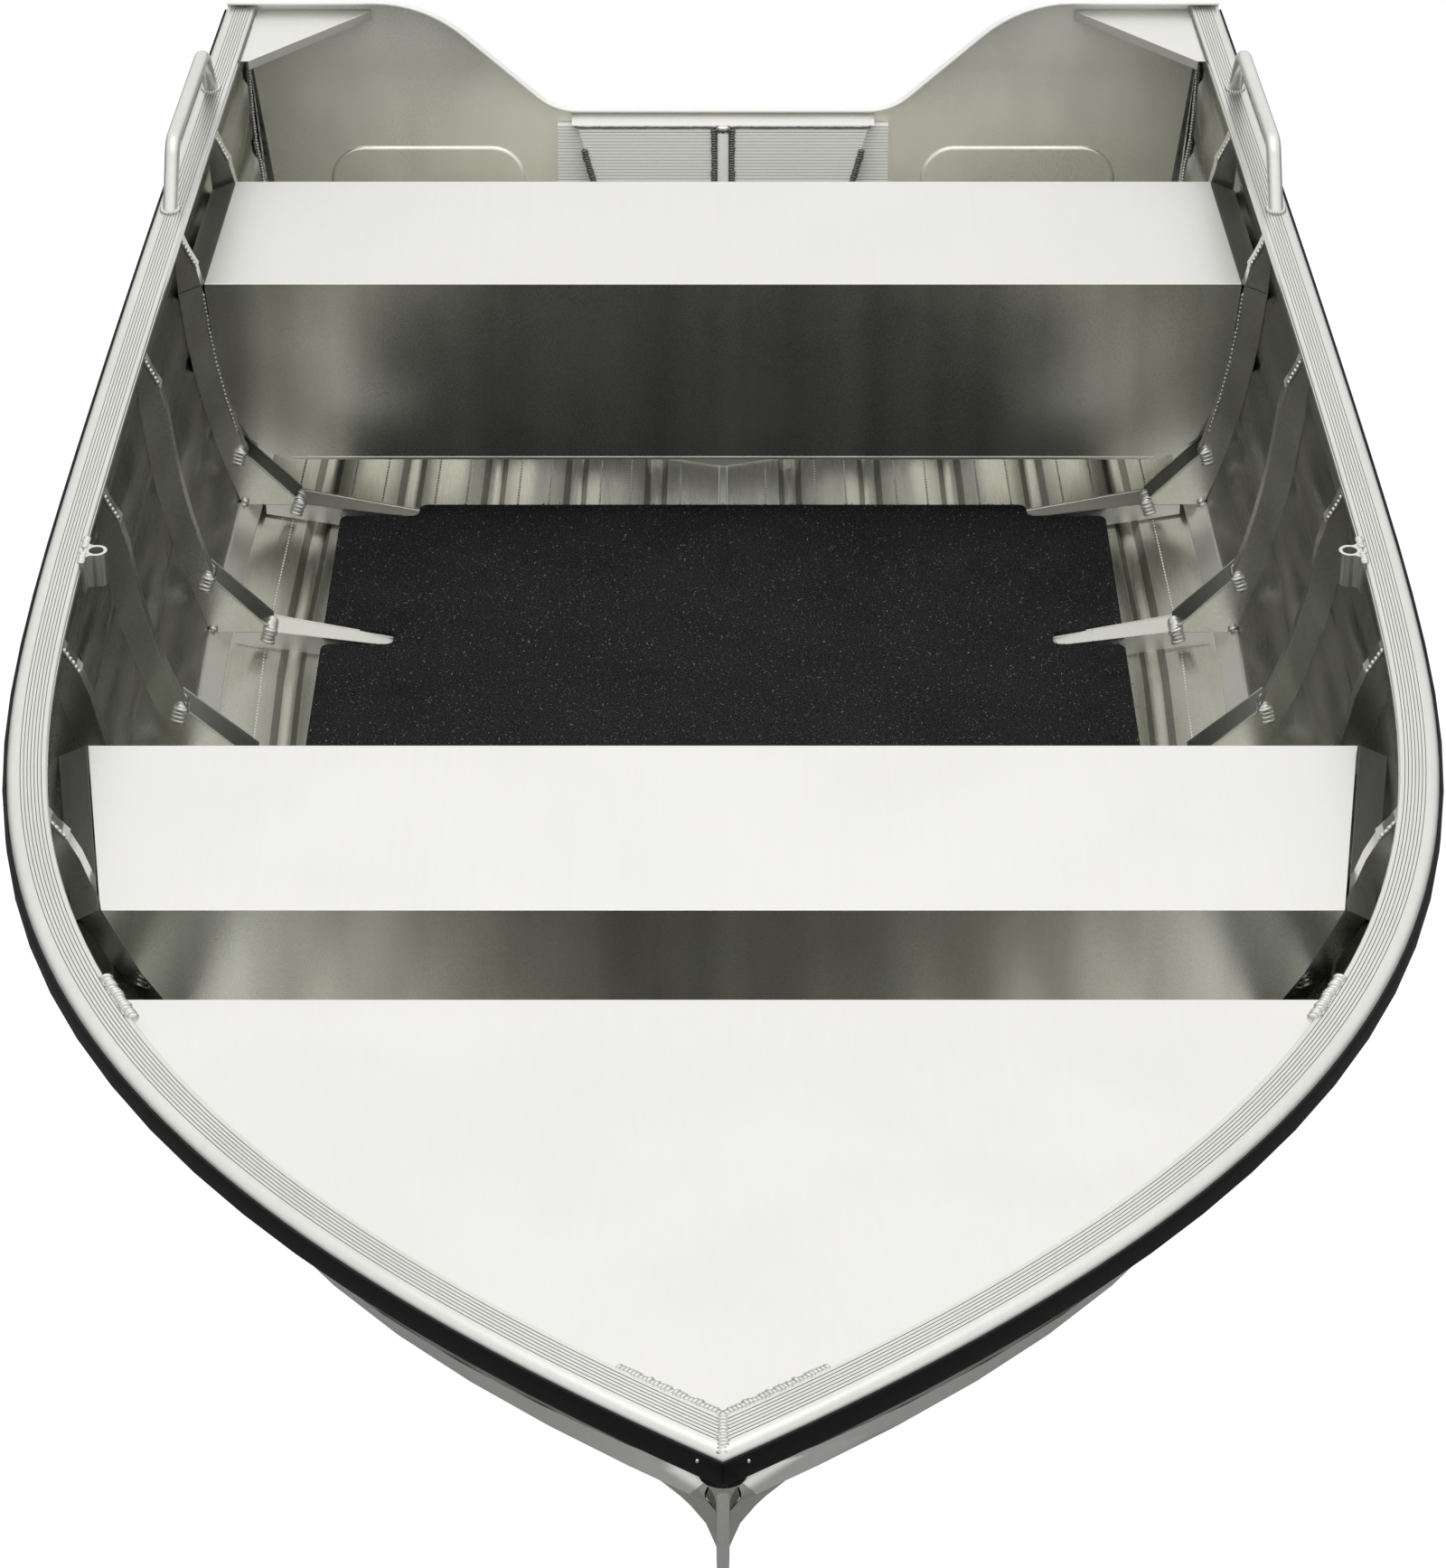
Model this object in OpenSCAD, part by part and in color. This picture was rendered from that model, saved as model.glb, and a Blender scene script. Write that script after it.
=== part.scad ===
/* [Hull] */
// Length from the gunwale's tip to the top of the transom
length = 3376; // [3200:1:3600]
// Width over the gunwales, without their rubber bands
beam = 1552; // [1480:1:1620]
// Width over the gunwales at the transom
stern_w = 1448; // [1380:1:1480]
// Distance of the widest section from the bow
widest = 1690; // [1600:1:1750]
// Fullness of the bow seen from above
bow_fullness = 2.7; // [2.4:0.05:3.0]
// Height of the gunwale over the water amidships
freeboard = 450; // [420:1:480]
// Rise of the gunwale from amidships to the bow
sheer_rise = 130; // [90:1:160]
// Depth of the bottom sheets at the keel, under the gunwale
keel_depth = 560; // [540:1:600]
// Depth of the chine under the gunwale, from the third rib aft
chine_depth = 440; // [425:1:455]
// Rise of the chine from the third rib to the bow
chine_rise = 520; // [480:1:540]
// Rise of the keel line from the forefoot to the bow
stem_rise = 640; // [600:1:645]
// Distance from the bow at which the stem runs out into the keel
forefoot = 1150; // [1050:1:1250]
// Slope of the transom, top leaning aft
transom_rake = 12; // [8:0.5:15]

/* [Sheets] */
// Thickness of the side sheets
side_t = 2; // [1.5:0.5:3]
// Thickness of the bottom sheets
bottom_t = 3; // [2:0.5:4]
// Thickness of the transom sheet
transom_t = 3; // [2:0.5:5]
// Thickness of seats, deck, ribs and gussets
inner_t = 2; // [1.5:0.5:3]
// Free space left at each welded seam
seam = 0.3; // [0.2:0.1:0.5]
// Depth of the flutes pressed in the bottom
flute_depth = 9; // [4:1:12]
// Width of a flute at its mouth
flute_w = 34; // [24:1:44]
// Distance of the first flute from the centreline
flute_first = 95; // [80:1:110]
// Distance between flutes
flute_pitch = 119; // [110:1:122]
// Depth of the strakes pressed in the sides
strake_depth = 6; // [3:1:8]

// Leg of the chine profile along each sheet
chine_leg = 20; // [15:1:24]

/* [Gunwale] */
// Width of the gunwale profile
gunwale_w = 43; // [38:1:50]
// Height of the gunwale's outer wall
gunwale_h = 30; // [26:1:40]
// Wall of the gunwale profile
gunwale_wall = 5; // [3:0.5:6]
// Distance of the side sheet from the gunwale's outer face
sheet_inset = 22; // [18:1:26]
// Height of the rubber band
rubber_h = 24; // [16:1:24]
// Depth that the rubber band stands proud
rubber_t = 4; // [3:0.5:6]
// Thickness of the keel and stem bar
keel_w = 11; // [9:1:16]
// Depth of the keel bar below the sheets
keel_bar_depth = 22; // [16:1:30]

/* [Ribs] */
// Distance of the first rib from the bow, counted from the stern
rib_aft = 2963; // [2930:1:2980]
// Distance between ribs, aft
rib_pitch = 335; // [330:1:345]
// Each bay forward is this much longer than the one behind it
rib_growth = 9; // [6:0.5:10]
// Depth of a rib's web
rib_depth = 32; // [26:1:40]
// Width of a rib's flange
rib_flange = 20; // [14:1:24]
// Depth of the rib's knee at the chine
knee_reach = 76; // [60:1:90]

/* [Seats and deck] */
// Depth of the seat tops under the gunwale
seat_drop = 92; // [80:1:120]
// Height of the seats' faces
seat_face = 262; // [220:1:280]
// Fore and aft length of the seat tops
seat_l = 328; // [300:1:340]
// Distance of the bow deck's aft edge from the bow
deck_aft = 795; // [760:1:860]
// Depth of the bow deck under the gunwale's top
deck_drop = 14; // [10:1:20]
// Depth of the deck's folded lip
deck_lip = 26; // [16:1:36]
// Depth of the corner plates' folded lip
corner_lip = 12; // [8:1:16]
// Length of the corner plates along the gunwale
corner_l = 200; // [160:1:220]
// Width of the corner plates along the transom
corner_w = 167; // [140:1:190]

/* [Floor board] */
// Height of the board's top over the keel line
board_rise = 122; // [116:1:126]
// Thickness of the board with its carpet
board_t = 7; // [5:1:9]
// Width of the board
board_w = 1046; // [980:1:1060]

/* [Transom] */
// Depth of the dip for the motor
dip_depth = 158; // [130:1:180]
// Width of the flat part of the dip
dip_flat = 430; // [380:1:480]
// Radius of the dip's shoulders
dip_shoulder_r = 200; // [150:1:220]
// Radius of the dip's feet
dip_foot_r = 90; // [60:1:120]
// Slope of the dip's sides
dip_slope = 40; // [35:1:45]
// Width of the cap strip on the transom
cap_w = 27; // [22:1:34]
// Thickness of the cap strip
cap_t = 4; // [3:0.5:6]
// Thickness of the wide plank inside the dip
inner_plank_t = 20; // [16:1:24]
// Thickness of the pair of planks on it
front_plank_t = 16; // [12:1:20]
// Width of the centre post
post_w = 17; // [14:1:22]
// Width of the raised panels pressed in the transom
panel_w = 288; // [240:1:300]
// Height of the raised panels
panel_h = 150; // [120:1:170]
// Depth of the raised panels under the transom's top
panel_drop = 211; // [195:1:225]
// Rise of the raised panels
panel_rise = 4; // [2:0.5:6]

/* [Fittings] */
// Bore of the rowlock sockets
rowlock_bore = 17; // [12:0.5:19]
// Outer diameter of the rowlock sockets
rowlock_d = 25; // [23:1:30]
// Height of the rowlock sockets
rowlock_h = 41; // [32:1:60]
// Distance of the rowlock sockets from the bow
rowlock_at = 1729; // [1700:1:1760]
// Diameter of the grab handles' tube
handle_d = 20; // [16:1:24]
// Height of the grab handles over the gunwale
handle_h = 84; // [74:1:96]
// Lean of a grab handle's legs towards each other
handle_splay = 55.5; // [45:0.5:66]

/* [Hidden] */

rail = [0.86, 0.87, 0.86];
sheet = [0.62, 0.64, 0.60];
bright = [0.93, 0.93, 0.91];
black = [0.06, 0.06, 0.06];
pile = [0.1, 0.1, 0.11];
grey = [0.3, 0.31, 0.3];

// Last station with the full depth of the chine, and the chine's share of the gunwale's width
chine_full_at = rib_aft - 2*rib_pitch - 2*rib_growth + 7;
chine_share = 0.87;
nose_share = 0.64;
keel_rocker = 18;
sheet_top = gunwale_wall + 2*seam;
keel_half = keel_w/2;
// Longest run, forward or aft of the tip, in which a line of the hull meets the centreline
nose_run = 300;
// Stations near the stern whose sections shape the transom and the sheets' ends
stern_run = 110;

function clip(v, low, high) = max(low, min(high, v));
function mix(a, b, f) = a + (b - a)*f;
function aft(s) = s - length/2;

// Outline of the gunwale: half width at a distance s from the bow, its slope and its height
function gun_x(s) = s < widest
  ? beam/2*(1 - pow(1 - s/widest, bow_fullness))
  : beam/2 - (beam - stern_w)/2*pow((s - widest)/(length - widest), 1.3);
function gun_slope(s) = (gun_x(s + 1) - gun_x(s - 1))/2;
function spread(s) = sqrt(1 + pow(gun_slope(s), 2));
function sheer_z(s) = freeboard + sheer_rise*pow(max(0, 1 - s/(length/2)), 2);

// Chine and keel lines
function chine_x(s) = gun_x(s)*mix(nose_share, chine_share, pow(clip(s/chine_full_at, 0, 1), 0.75));
function chine_z(s) = freeboard - chine_depth + chine_rise*pow(max(0, 1 - s/chine_full_at), 1.82);
function keel_z(s) = freeboard - keel_depth + stem_rise*pow(max(0, 1 - s/forefoot), 2.22)
  + keel_rocker*pow(max(0, (s - length/2)/(length/2)), 2);

// The transom's plane: distance from the bow of its outer face at a height z
function transom_s(z) = length - (freeboard - z)*tan(transom_rake);
function sheet_end(z) = transom_s(z) - transom_t/cos(transom_rake) - seam;

// A side sheet's outer face: t runs from 0 at the gunwale to 1 at the chine
function side_bulge(s) = mix(1, 2.2, clip((s - 300)/1500, 0, 1));
function side_x(s, t) = mix(gun_x(s) - sheet_inset*spread(s), chine_x(s), pow(t, side_bulge(s)));
function side_z(s, t) = mix(sheer_z(s) - sheet_top, chine_z(s), t);

// A bottom sheet's outer face: r runs from 0 at the keel to 1 at the chine
function hollow(s) = mix(0.5, 1, clip(s/1200, 0, 1));
function bottom_x(s, r) = mix(keel_half + seam, chine_x(s), r);
function bottom_z(s, r) = mix(keel_z(s), chine_z(s), pow(r, hollow(s)));

module skin(rings) {
  n = len(rings[0]);
  last = len(rings) - 1;
  walls = [for (i = [0:last - 1], k = [0:n - 1])
    let (a = i*n + k, b = i*n + (k + 1)%n) each [[a, b, b + n], [a, b + n, a + n]]];
  caps = [[for (k = [n - 1:-1:0]) k], [for (k = [0:n - 1]) last*n + k]];
  polyhedron([for (ring = rings) each ring], concat(walls, caps));
}

module starboard() {
  mirror([1, 0, 0]) children();
}

// A loft along the boat: point(s, k) gives the k-th point of a section, each with its own ends
function stations(n, bunch) = [for (i = [0:n]) pow(i/n, bunch)];
function root(f, goal, low, high, n = 26) = let (m = (low + high)/2) n == 0 ? m
  : f(m) > goal ? root(f, goal, low, m, n - 1) : root(f, goal, m, high, n - 1);
module loft(point, starts, ends, n, bunch) {
  skin([for (f = stations(n, bunch)) [for (k = [0:len(starts) - 1])
    let (s = mix(starts[k], ends[k], f), p = point(s, k)) [p[0], aft(s), p[1]]]]);
}

// A profile swept along the gunwale: u runs inward from its outer face, v up from its top
function rim(s, u, v) = [gun_x(s) - u/spread(s), aft(s + u*gun_slope(s)/spread(s)), sheer_z(s) + v];
module rim_sweep(profile, s_end, n) {
  starts = [for (p = profile) root(function (s) rim(s, p[0], 0)[0], seam/2, -nose_run/5, nose_run)];
  skin([for (f = stations(n, 1.6)) [for (k = [0:len(profile) - 1])
    rim(mix(starts[k], s_end, f), profile[k][0], profile[k][1])]]);
}

// Strakes pressed in a side sheet: [share of its depth at the middle, half the width as a share]
STRAKES = [[0.22, 0.045], [0.48, 0.045], [0.74, 0.045]];
// Share of each sheet that the chine profile takes
function side_lap(s) = min(0.35, chine_leg/(sheer_z(s) - chine_z(s)));
function bottom_lap(s) = min(0.5, chine_leg/chine_x(s));
side_steps = concat([[0, 0]],
  [for (k = STRAKES) each [[k[0] - k[1], 0], [k[0] - k[1]/2, strake_depth],
    [k[0] + k[1]/2, strake_depth], [k[0] + k[1], 0]]],
  [[1, 0]]);

function side_skin(s, t, press, depth) = [
  side_x(s, t) + press*clip((s - 60)/500, 0, 1) - depth*spread(s), side_z(s, t)];
function side_sheet_skin(s, t, press, depth) =
  side_skin(s, t*(1 - side_lap(s) - 0.001), press, depth);

module side_sheet() {
  steps = concat([for (k = side_steps) [k[0], k[1], 0]],
    [for (i = [len(side_steps) - 1:-1:0]) [side_steps[i][0], side_steps[i][1], side_t]]);
  point = function (s, k) side_sheet_skin(s, steps[k][0], steps[k][1], steps[k][2]);
  starts = [for (k = [0:len(steps) - 1])
    root(function (s) side_sheet_skin(s, steps[k][0], 0, steps[k][2])[0], keel_half + seam, 0, nose_run)];
  ends = [for (k = [0:len(steps) - 1]) sheet_end(point(length - stern_run/2, k)[1])];
  color(sheet) loft(point, starts, ends, 28, 1.2);
}

// Flutes pressed in the bottom, as shares of the chine's half width
chine_ref = beam/2*chine_share - chine_leg;
FLUTES = [for (i = [0:4]) (flute_first + i*flute_pitch)/chine_ref];
flute_half = flute_w/2/chine_ref;
bottom_steps = concat([[0, 0], [0.05, 0]],
  [for (r = FLUTES) each [[r - flute_half, 0], [r - flute_half/2, flute_depth],
    [r + flute_half/2, flute_depth], [r + flute_half, 0]]],
  [[1, 0]]);
nose_start = 30;

function bottom_skin(s, r, press, depth) = [bottom_x(s, r),
  bottom_z(s, r) - press*clip((s - 700)/500, 0, 1) + depth];
function bottom_sheet_skin(s, r, press, depth) =
  bottom_skin(s, r*(1 - bottom_lap(s) - 0.001), press, depth);

module bottom_sheet() {
  steps = concat([for (k = bottom_steps) [k[0], k[1], 0]],
    [for (i = [len(bottom_steps) - 1:-1:0]) [bottom_steps[i][0], bottom_steps[i][1], bottom_t]]);
  point = function (s, k) bottom_sheet_skin(s, steps[k][0], steps[k][1], steps[k][2]);
  starts = [for (k = steps) nose_start];
  ends = [for (k = [0:len(steps) - 1]) sheet_end(point(length - stern_run, k)[1])];
  color(sheet) loft(point, starts, ends, 22, 1.25);
}

// The chine profile closes the corner between both sheets, flat on its inside
module chine_profile() {
  point = function (s, k)
    k == 0 ? side_skin(s, 1 - side_lap(s), 2, 0)
    : k == 1 ? [chine_x(s) + 3, chine_z(s) - 3]
    : k == 2 ? bottom_skin(s, 1 - bottom_lap(s), 0, -2)
    : k == 3 ? bottom_skin(s, 1 - bottom_lap(s), 0, bottom_t + 3)
    : side_skin(s, 1 - side_lap(s), 0, side_t + 3);
  starts = [for (k = [0:4]) nose_start];
  ends = [for (k = [0:4]) sheet_end(point(length - stern_run, k)[1])];
  color(rail) loft(point, starts, ends, 22, 1.25);
}

// Keel and stem: a flat bar on edge, which follows the keel line
function keel_point(s, d) = let (k = (keel_z(s + 1) - keel_z(s - 1))/2, m = sqrt(1 + k*k))
  [aft(s + d*k/m), keel_z(s) - d/m];
module centre_plate(points, width) {
  rotate([90, 0, 90]) translate([0, 0, -width/2]) linear_extrude(width) polygon(points);
}
function keel_run(from, to, n, d) = [for (i = [0:n]) keel_point(mix(from, to, i/n), d)];
function backward(list) = [for (i = [len(list) - 1:-1:0]) list[i]];

module keel_bar() {
  end = sheet_end(keel_z(length - stern_run));
  color(rail) centre_plate(concat(keel_run(forefoot + seam, end, 10, keel_bar_depth),
    backward(keel_run(forefoot + seam, end, 10, -bottom_t))), keel_w);
}

// The stem bar's head rises between the side sheets to the gunwale's mitre
module stem_bar() {
  head = sheer_z(nose_start) - gunwale_h - seam;
  color(rail) centre_plate(concat([[aft(nose_start), head], [aft(4), head]],
    keel_run(2*nose_start, forefoot, 24, keel_bar_depth),
    backward(keel_run(nose_start, forefoot, 24, -bottom_t))), keel_w);
}

// Gunwale profile, open underneath, with the side sheet's edge inside
gunwale_profile = let (w = gunwale_wall, g = gunwale_w, leg = sheet_inset - seam) [
  [leg, -gunwale_h], [0, -gunwale_h], [0, -9], [2.6, -2.6], [9, 0], [g - 3, 0], [g, -3],
  [g, -14], [g - 4, -14], [g - 4, -w], [leg, -w]];
rubber_top = -6;
rubber_profile = [[-seam, rubber_top], [-rubber_t/2, rubber_top], [-rubber_t, rubber_top - rubber_t],
  [-rubber_t, rubber_top - rubber_h + rubber_t], [-rubber_t/2, rubber_top - rubber_h],
  [-seam, rubber_top - rubber_h]];
gunwale_end = length - transom_t/cos(transom_rake) - gunwale_h*tan(transom_rake) - seam;

module gunwale() {
  color(rail) rim_sweep(gunwale_profile, gunwale_end, 36);
}

module rubber_band() {
  color(black) rim_sweep(backward(rubber_profile), gunwale_end, 36);
}

// Draws a flat shape, x across and y up, in the transom's plane, its back on the given face
module on_transom(front, thick) {
  translate([0, aft(length), freeboard]) rotate([-transom_rake, 0, 0])
    translate([0, -front, 0]) rotate([90, 0, 0]) linear_extrude(thick) children();
}

// Stands a flat shape, x across and y aft, on the transom's slope between two heights along it
module upright(low, high) {
  translate([0, aft(length), freeboard]) rotate([-transom_rake, 0, 0])
    translate([0, 0, low]) linear_extrude(high - low) children();
}
function slant(z) = (z - freeboard)/cos(transom_rake);

// The dip in the transom's top edge, from the shoulder to the middle
function arc(cx, cy, r, from, to, n) = [for (i = [0:n]) let (a = mix(from, to, i/n))
  [cx + r*cos(a), cy + r*sin(a)]];
dip_run = (dip_depth - (dip_shoulder_r + dip_foot_r)*(1 - cos(dip_slope)))/sin(dip_slope);
dip_shoulder_x = dip_flat/2 + (dip_shoulder_r + dip_foot_r)*sin(dip_slope) + dip_run*cos(dip_slope);
function dip_edge(d) = concat(
  arc(dip_shoulder_x, -dip_shoulder_r, dip_shoulder_r - d, 90, 90 + dip_slope, 8),
  arc(dip_flat/2, -dip_depth + dip_foot_r, dip_foot_r + d, 270 + dip_slope, 270, 6));
function both(points) = concat(points, [for (p = backward(points)) [-p[0], p[1]]]);

transom_outline = concat(
  [for (r = [0.02, 0.5, 1]) let (s = length - stern_run) [bottom_x(s, r), slant(bottom_z(s, r))]],
  [for (t = [0.85, 0.7, 0.5, 0.25]) let (s = length - stern_run*t) [side_x(s, t), slant(side_z(s, t))]],
  [[gun_x(length) - 1, -gunwale_h], [gun_x(length) - 1, 0]],
  dip_edge(0));

// Outline of a raised panel: a rectangle with round upper and lower corners
panel_r = 50;
panel_x = dip_shoulder_x + 60;
module panel(grow) {
  translate([panel_x, -panel_drop - panel_h/2]) for (side = [0, 1]) mirror([side, 0]) {
    translate([-0.1, -panel_h/2 - grow]) square([panel_w/2 - panel_r + 0.1, panel_h + 2*grow]);
    translate([0, -panel_h/2 + panel_r]) square([panel_w/2 + grow, panel_h - 2*panel_r]);
    for (end = [-1, 1]) translate([panel_w/2 - panel_r, end*(panel_h/2 - panel_r)])
      circle(r = panel_r + grow, $fn = 48);
  }
}

module transom() {
  color(sheet) difference() {
    union() {
      on_transom(0, transom_t) polygon(both(transom_outline));
      for (side = [0, 1]) mirror([side, 0, 0]) on_transom(transom_t - 1, panel_rise + 1) panel(0);
    }
    for (side = [0, 1]) mirror([side, 0, 0]) on_transom(-1, panel_rise + 1) panel(-transom_t);
    on_transom(-1, transom_t + 2) translate([drain_x, drain_y])
      circle(d = drain_d + 6 + 2*seam, $fn = 48);
  }
}

module transom_cap() {
  edge = concat([[gun_x(length) - 1, seam]], [for (p = dip_edge(-seam)) p]);
  top = concat([[gun_x(length) - 1, seam + cap_t]], [for (p = dip_edge(-seam - cap_t)) p]);
  color(rail) on_transom(-4, cap_w) polygon(concat(both(edge), backward(both(top))));
}

// Planks inside the dip: a wide one on the transom, and a pair on it beside the centre post
plank_top = -dip_depth - 16;
inner_plank_w = 486;
inner_plank_h = 230;
front_plank_h = 215;
front_plank_at = transom_t + inner_plank_t + 2*seam;
post_face = front_plank_at + front_plank_t;
module inner_plank() {
  color(bright) on_transom(transom_t + seam, inner_plank_t)
    translate([-inner_plank_w/2, plank_top - inner_plank_h]) square([inner_plank_w, inner_plank_h]);
}
front_plank_top_w = 213;
front_plank_foot_w = 150;
strut_w = 9;
module front_planks() {
  in = post_w/2 + seam;
  low = plank_top - front_plank_h;
  edge = function (w) [[front_plank_top_w + w, plank_top], [front_plank_foot_w + w, low]];
  color(bright) for (side = [0, 1]) mirror([side, 0, 0]) {
    on_transom(front_plank_at, front_plank_t)
      polygon(concat([[in, plank_top]], edge(0), [[in, low]]));
    on_transom(front_plank_at, front_plank_t + 3) polygon(concat(edge(seam), backward(edge(strut_w))));
  }
}
pad_w = 300;
pad_h = 215;
pad_t = 12;
module motor_pad() {
  color(rail) on_transom(-pad_t - seam, pad_t)
    translate([-pad_w/2, -dip_depth - pad_h - 35]) square([pad_w, pad_h]);
}
// A round-nosed bar that stands on the wide plank
module centre_post() {
  color(rail) upright(plank_top - inner_plank_h, plank_top) {
    translate([-post_w/2, -post_face - 2]) square([post_w, front_plank_t + 2]);
    translate([0, -post_face - 2]) circle(d = post_w, $fn = 48);
  }
}

// Corner plate between gunwale and transom, with a folded lip along its free edge
corner_drop = 9;
corner_back = 12;
module corner_plate() {
  rail_x = function (s) gun_x(s) - gunwale_w - seam;
  low = length - corner_l;
  near = [rail_x(low) - corner_back, aft(low)];
  far = [rail_x(length) - corner_w, aft(length - corner_back)];
  fold = (far - near)/norm(far - near)*inner_t;
  color(bright) translate([0, 0, freeboard - corner_drop]) {
    linear_extrude(inner_t) polygon([[rail_x(low), aft(low)],
      [rail_x(length), aft(length - corner_back)], far, near]);
    translate([0, 0, -corner_lip]) linear_extrude(corner_lip + inner_t)
      polygon([near, far, far + [-fold[1], fold[0]], near + [-fold[1], fold[0]]]);
  }
}

// Grab handle: one bent tube in an upright plane along the gunwale's top, its legs leaning in
handle_bend = 34;
handle_feet = [2656, 3060];
module handle() {
  feet = [for (s = handle_feet) rim(s, 20, seam)];
  run = feet[1] - feet[0];
  straight = norm([run[0], run[1]]);
  height = handle_h - handle_d/2;
  lean = atan(height/handle_splay);
  tangent = handle_bend*tan(lean/2);
  leg = norm([height, handle_splay]) - tangent;
  color(rail) translate(feet[0]) rotate([0, 0, atan2(run[1], run[0])]) difference() {
    union() {
      for (end = [0, 1]) translate([end*straight, 0, 0]) mirror([end, 0, 0]) {
        translate([handle_splay + tangent, 0, height - handle_bend]) rotate([90, 0, 0])
          rotate([0, 0, 90]) rotate_extrude(angle = lean, $fn = 96)
            translate([handle_bend, 0]) circle(d = handle_d, $fn = 48);
        rotate([0, 90 - lean, 0]) translate([0, 0, -handle_d])
          cylinder(d = handle_d, h = leg + handle_d, $fn = 48);
      }
      translate([handle_splay + tangent, 0, height]) rotate([0, 90, 0])
        cylinder(d = handle_d, h = straight - 2*(handle_splay + tangent), $fn = 48);
    }
    translate([-2*handle_d, -handle_d, -2*handle_d])
      cube([straight + 4*handle_d, 2*handle_d, 2*handle_d]);
  }
}

// Ribs: station of each, and the free width inside the sheets at a height
function rib_s(i) = rib_aft - (i - 1)*rib_pitch - (i - 1)*(i - 1)*rib_growth/2;
function rib_fit(s) = 0.6 + 0.6*clip((widest - s)/500, 0, 1);
function side_t_at(s, z) = (side_z(s, 0) - z)/(side_z(s, 0) - chine_z(s));
function inner_x(s, z) = z >= chine_z(s)
  ? side_x(s, clip(side_t_at(s, z), 0, 1)) - (side_t + rib_fit(s))*spread(s)
  : chine_x(s)*pow(clip((z - bottom_t - keel_z(s))/(chine_z(s) - keel_z(s)), 0.001, 1), 1/hollow(s)) - 2;
function foot_x(s) = chine_x(s) - knee_reach;
function foot_z(s) = chine_z(s) + 15;
floor_web = 50;

function rib_line(s, d) = [for (t = [0.05:0.09:0.951]) let (z = side_z(s, t),
  in = d*clip((t - 0.02)/0.15, 0.3, 1)) [inner_x(s, z) - in*spread(s), z + in*pow(t, 3)*0.45]];

module cross_plate(s, thick) {
  translate([0, aft(s), 0]) rotate([90, 0, 0]) mirror([0, 0, 1]) linear_extrude(thick) children();
}

// Height of the knee's top over the chine, and thickness of its folded edge
knee_rise = 95;
knee_edge = inner_t*1.4;
module rib(i) {
  s = rib_s(i);
  inner = rib_line(s, rib_depth);
  knee_top = [inner_x(s, chine_z(s) + knee_rise) - rib_depth*0.9, chine_z(s) + knee_rise];
  foot = [foot_x(s), foot_z(s) + seam];
  color(sheet) {
    cross_plate(s, inner_t) polygon(concat(rib_line(s, 0), backward(inner)));
    cross_plate(s, rib_flange) polygon(concat(inner, backward([for (p = inner) [p[0] - inner_t, p[1]]])));
    cross_plate(s, inner_t) polygon([knee_top, foot, [inner_x(s, chine_z(s) + 24) - 6, foot[1]],
      [inner_x(s, chine_z(s) + 40) - 4, chine_z(s) + 40]]);
    cross_plate(s, rib_flange) polygon([knee_top, foot, foot + [0, knee_edge], knee_top + [0, knee_edge]]);
  }
}

module floor_rib(s) {
  low = keel_z(s) + bottom_t + rib_fit(s) + 1;
  side = 0.955;
  top = floor_rib_top(s);
  middle = 0.01;
  half = [[middle, low], [chine_x(s)*side, mix(keel_z(s), chine_z(s), side) + bottom_t + 3],
    [chine_x(s)*side, foot_z(s)], [foot_x(s), foot_z(s)], [middle, top]];
  color(bright) {
    cross_plate(s, inner_t) polygon(both(half));
    cross_plate(s, rib_flange) polygon(both([[middle, top - inner_t], [foot_x(s), foot_z(s) - inner_t],
      [foot_x(s), foot_z(s)], [middle, top]]));
  }
}

module floor_ribs() {
  for (i = [1:6]) floor_rib(rib_s(i));
}

// Seats: a folded sheet whose faces follow the sheets' inside
seat_z = freeboard - seat_drop;
seat_gap = rib_depth + inner_t + 2;
// Outline of a seat's face: [share of its height, how much its edge draws in]
SEAT_EDGE = [[0, 0], [0.3, 0], [0.52, 0], [0.7, 2], [0.88, 12], [0.96, 30], [1, 55]];
function seat_ring(s, top) = both(
  [for (k = SEAT_EDGE) let (z = seat_z - k[0]*seat_face)
    [inner_x(s, z) - seat_gap - k[1], z + (k[0] == 0 ? top : 0)]]);

module seat(front, back) {
  rings = [for (s = [front, back]) [for (p = seat_ring(s, 5)) [p[0], aft(s), p[1]]]];
  color(bright) intersection() {
    skin([for (r = rings) backward(r)]);
    difference() {
      translate([-beam/2, aft(front), seat_z - seat_face]) cube([beam, back - front, seat_face]);
      translate([-beam/2 - 1, aft(front) + inner_t, seat_z - seat_face + inner_t])
        cube([beam + 2, back - front - 2*inner_t, seat_face - 2*inner_t]);
    }
  }
}
// Each seat's front edge, from the rib at its end
rear_seat_lead = 1;
front_seat_lead = 53;
rear_front = rib_s(2) - rear_seat_lead;
front_front = rib_s(6) - front_seat_lead;

module seat_ends(front, back) {
  color(grey) for (side = [0, 1]) mirror([side, 0, 0]) skin([for (s = [front, back])
    let (x = inner_x(s, seat_z) - seat_gap + seam, far = inner_x(s, seat_z - 14) - 1)
    [for (p = [[x, seat_z - inner_t], [x, seat_z], [far, seat_z - 14], [far, seat_z - 14 - inner_t]])
      [p[0], aft(s), p[1]]]]);
}

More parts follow.
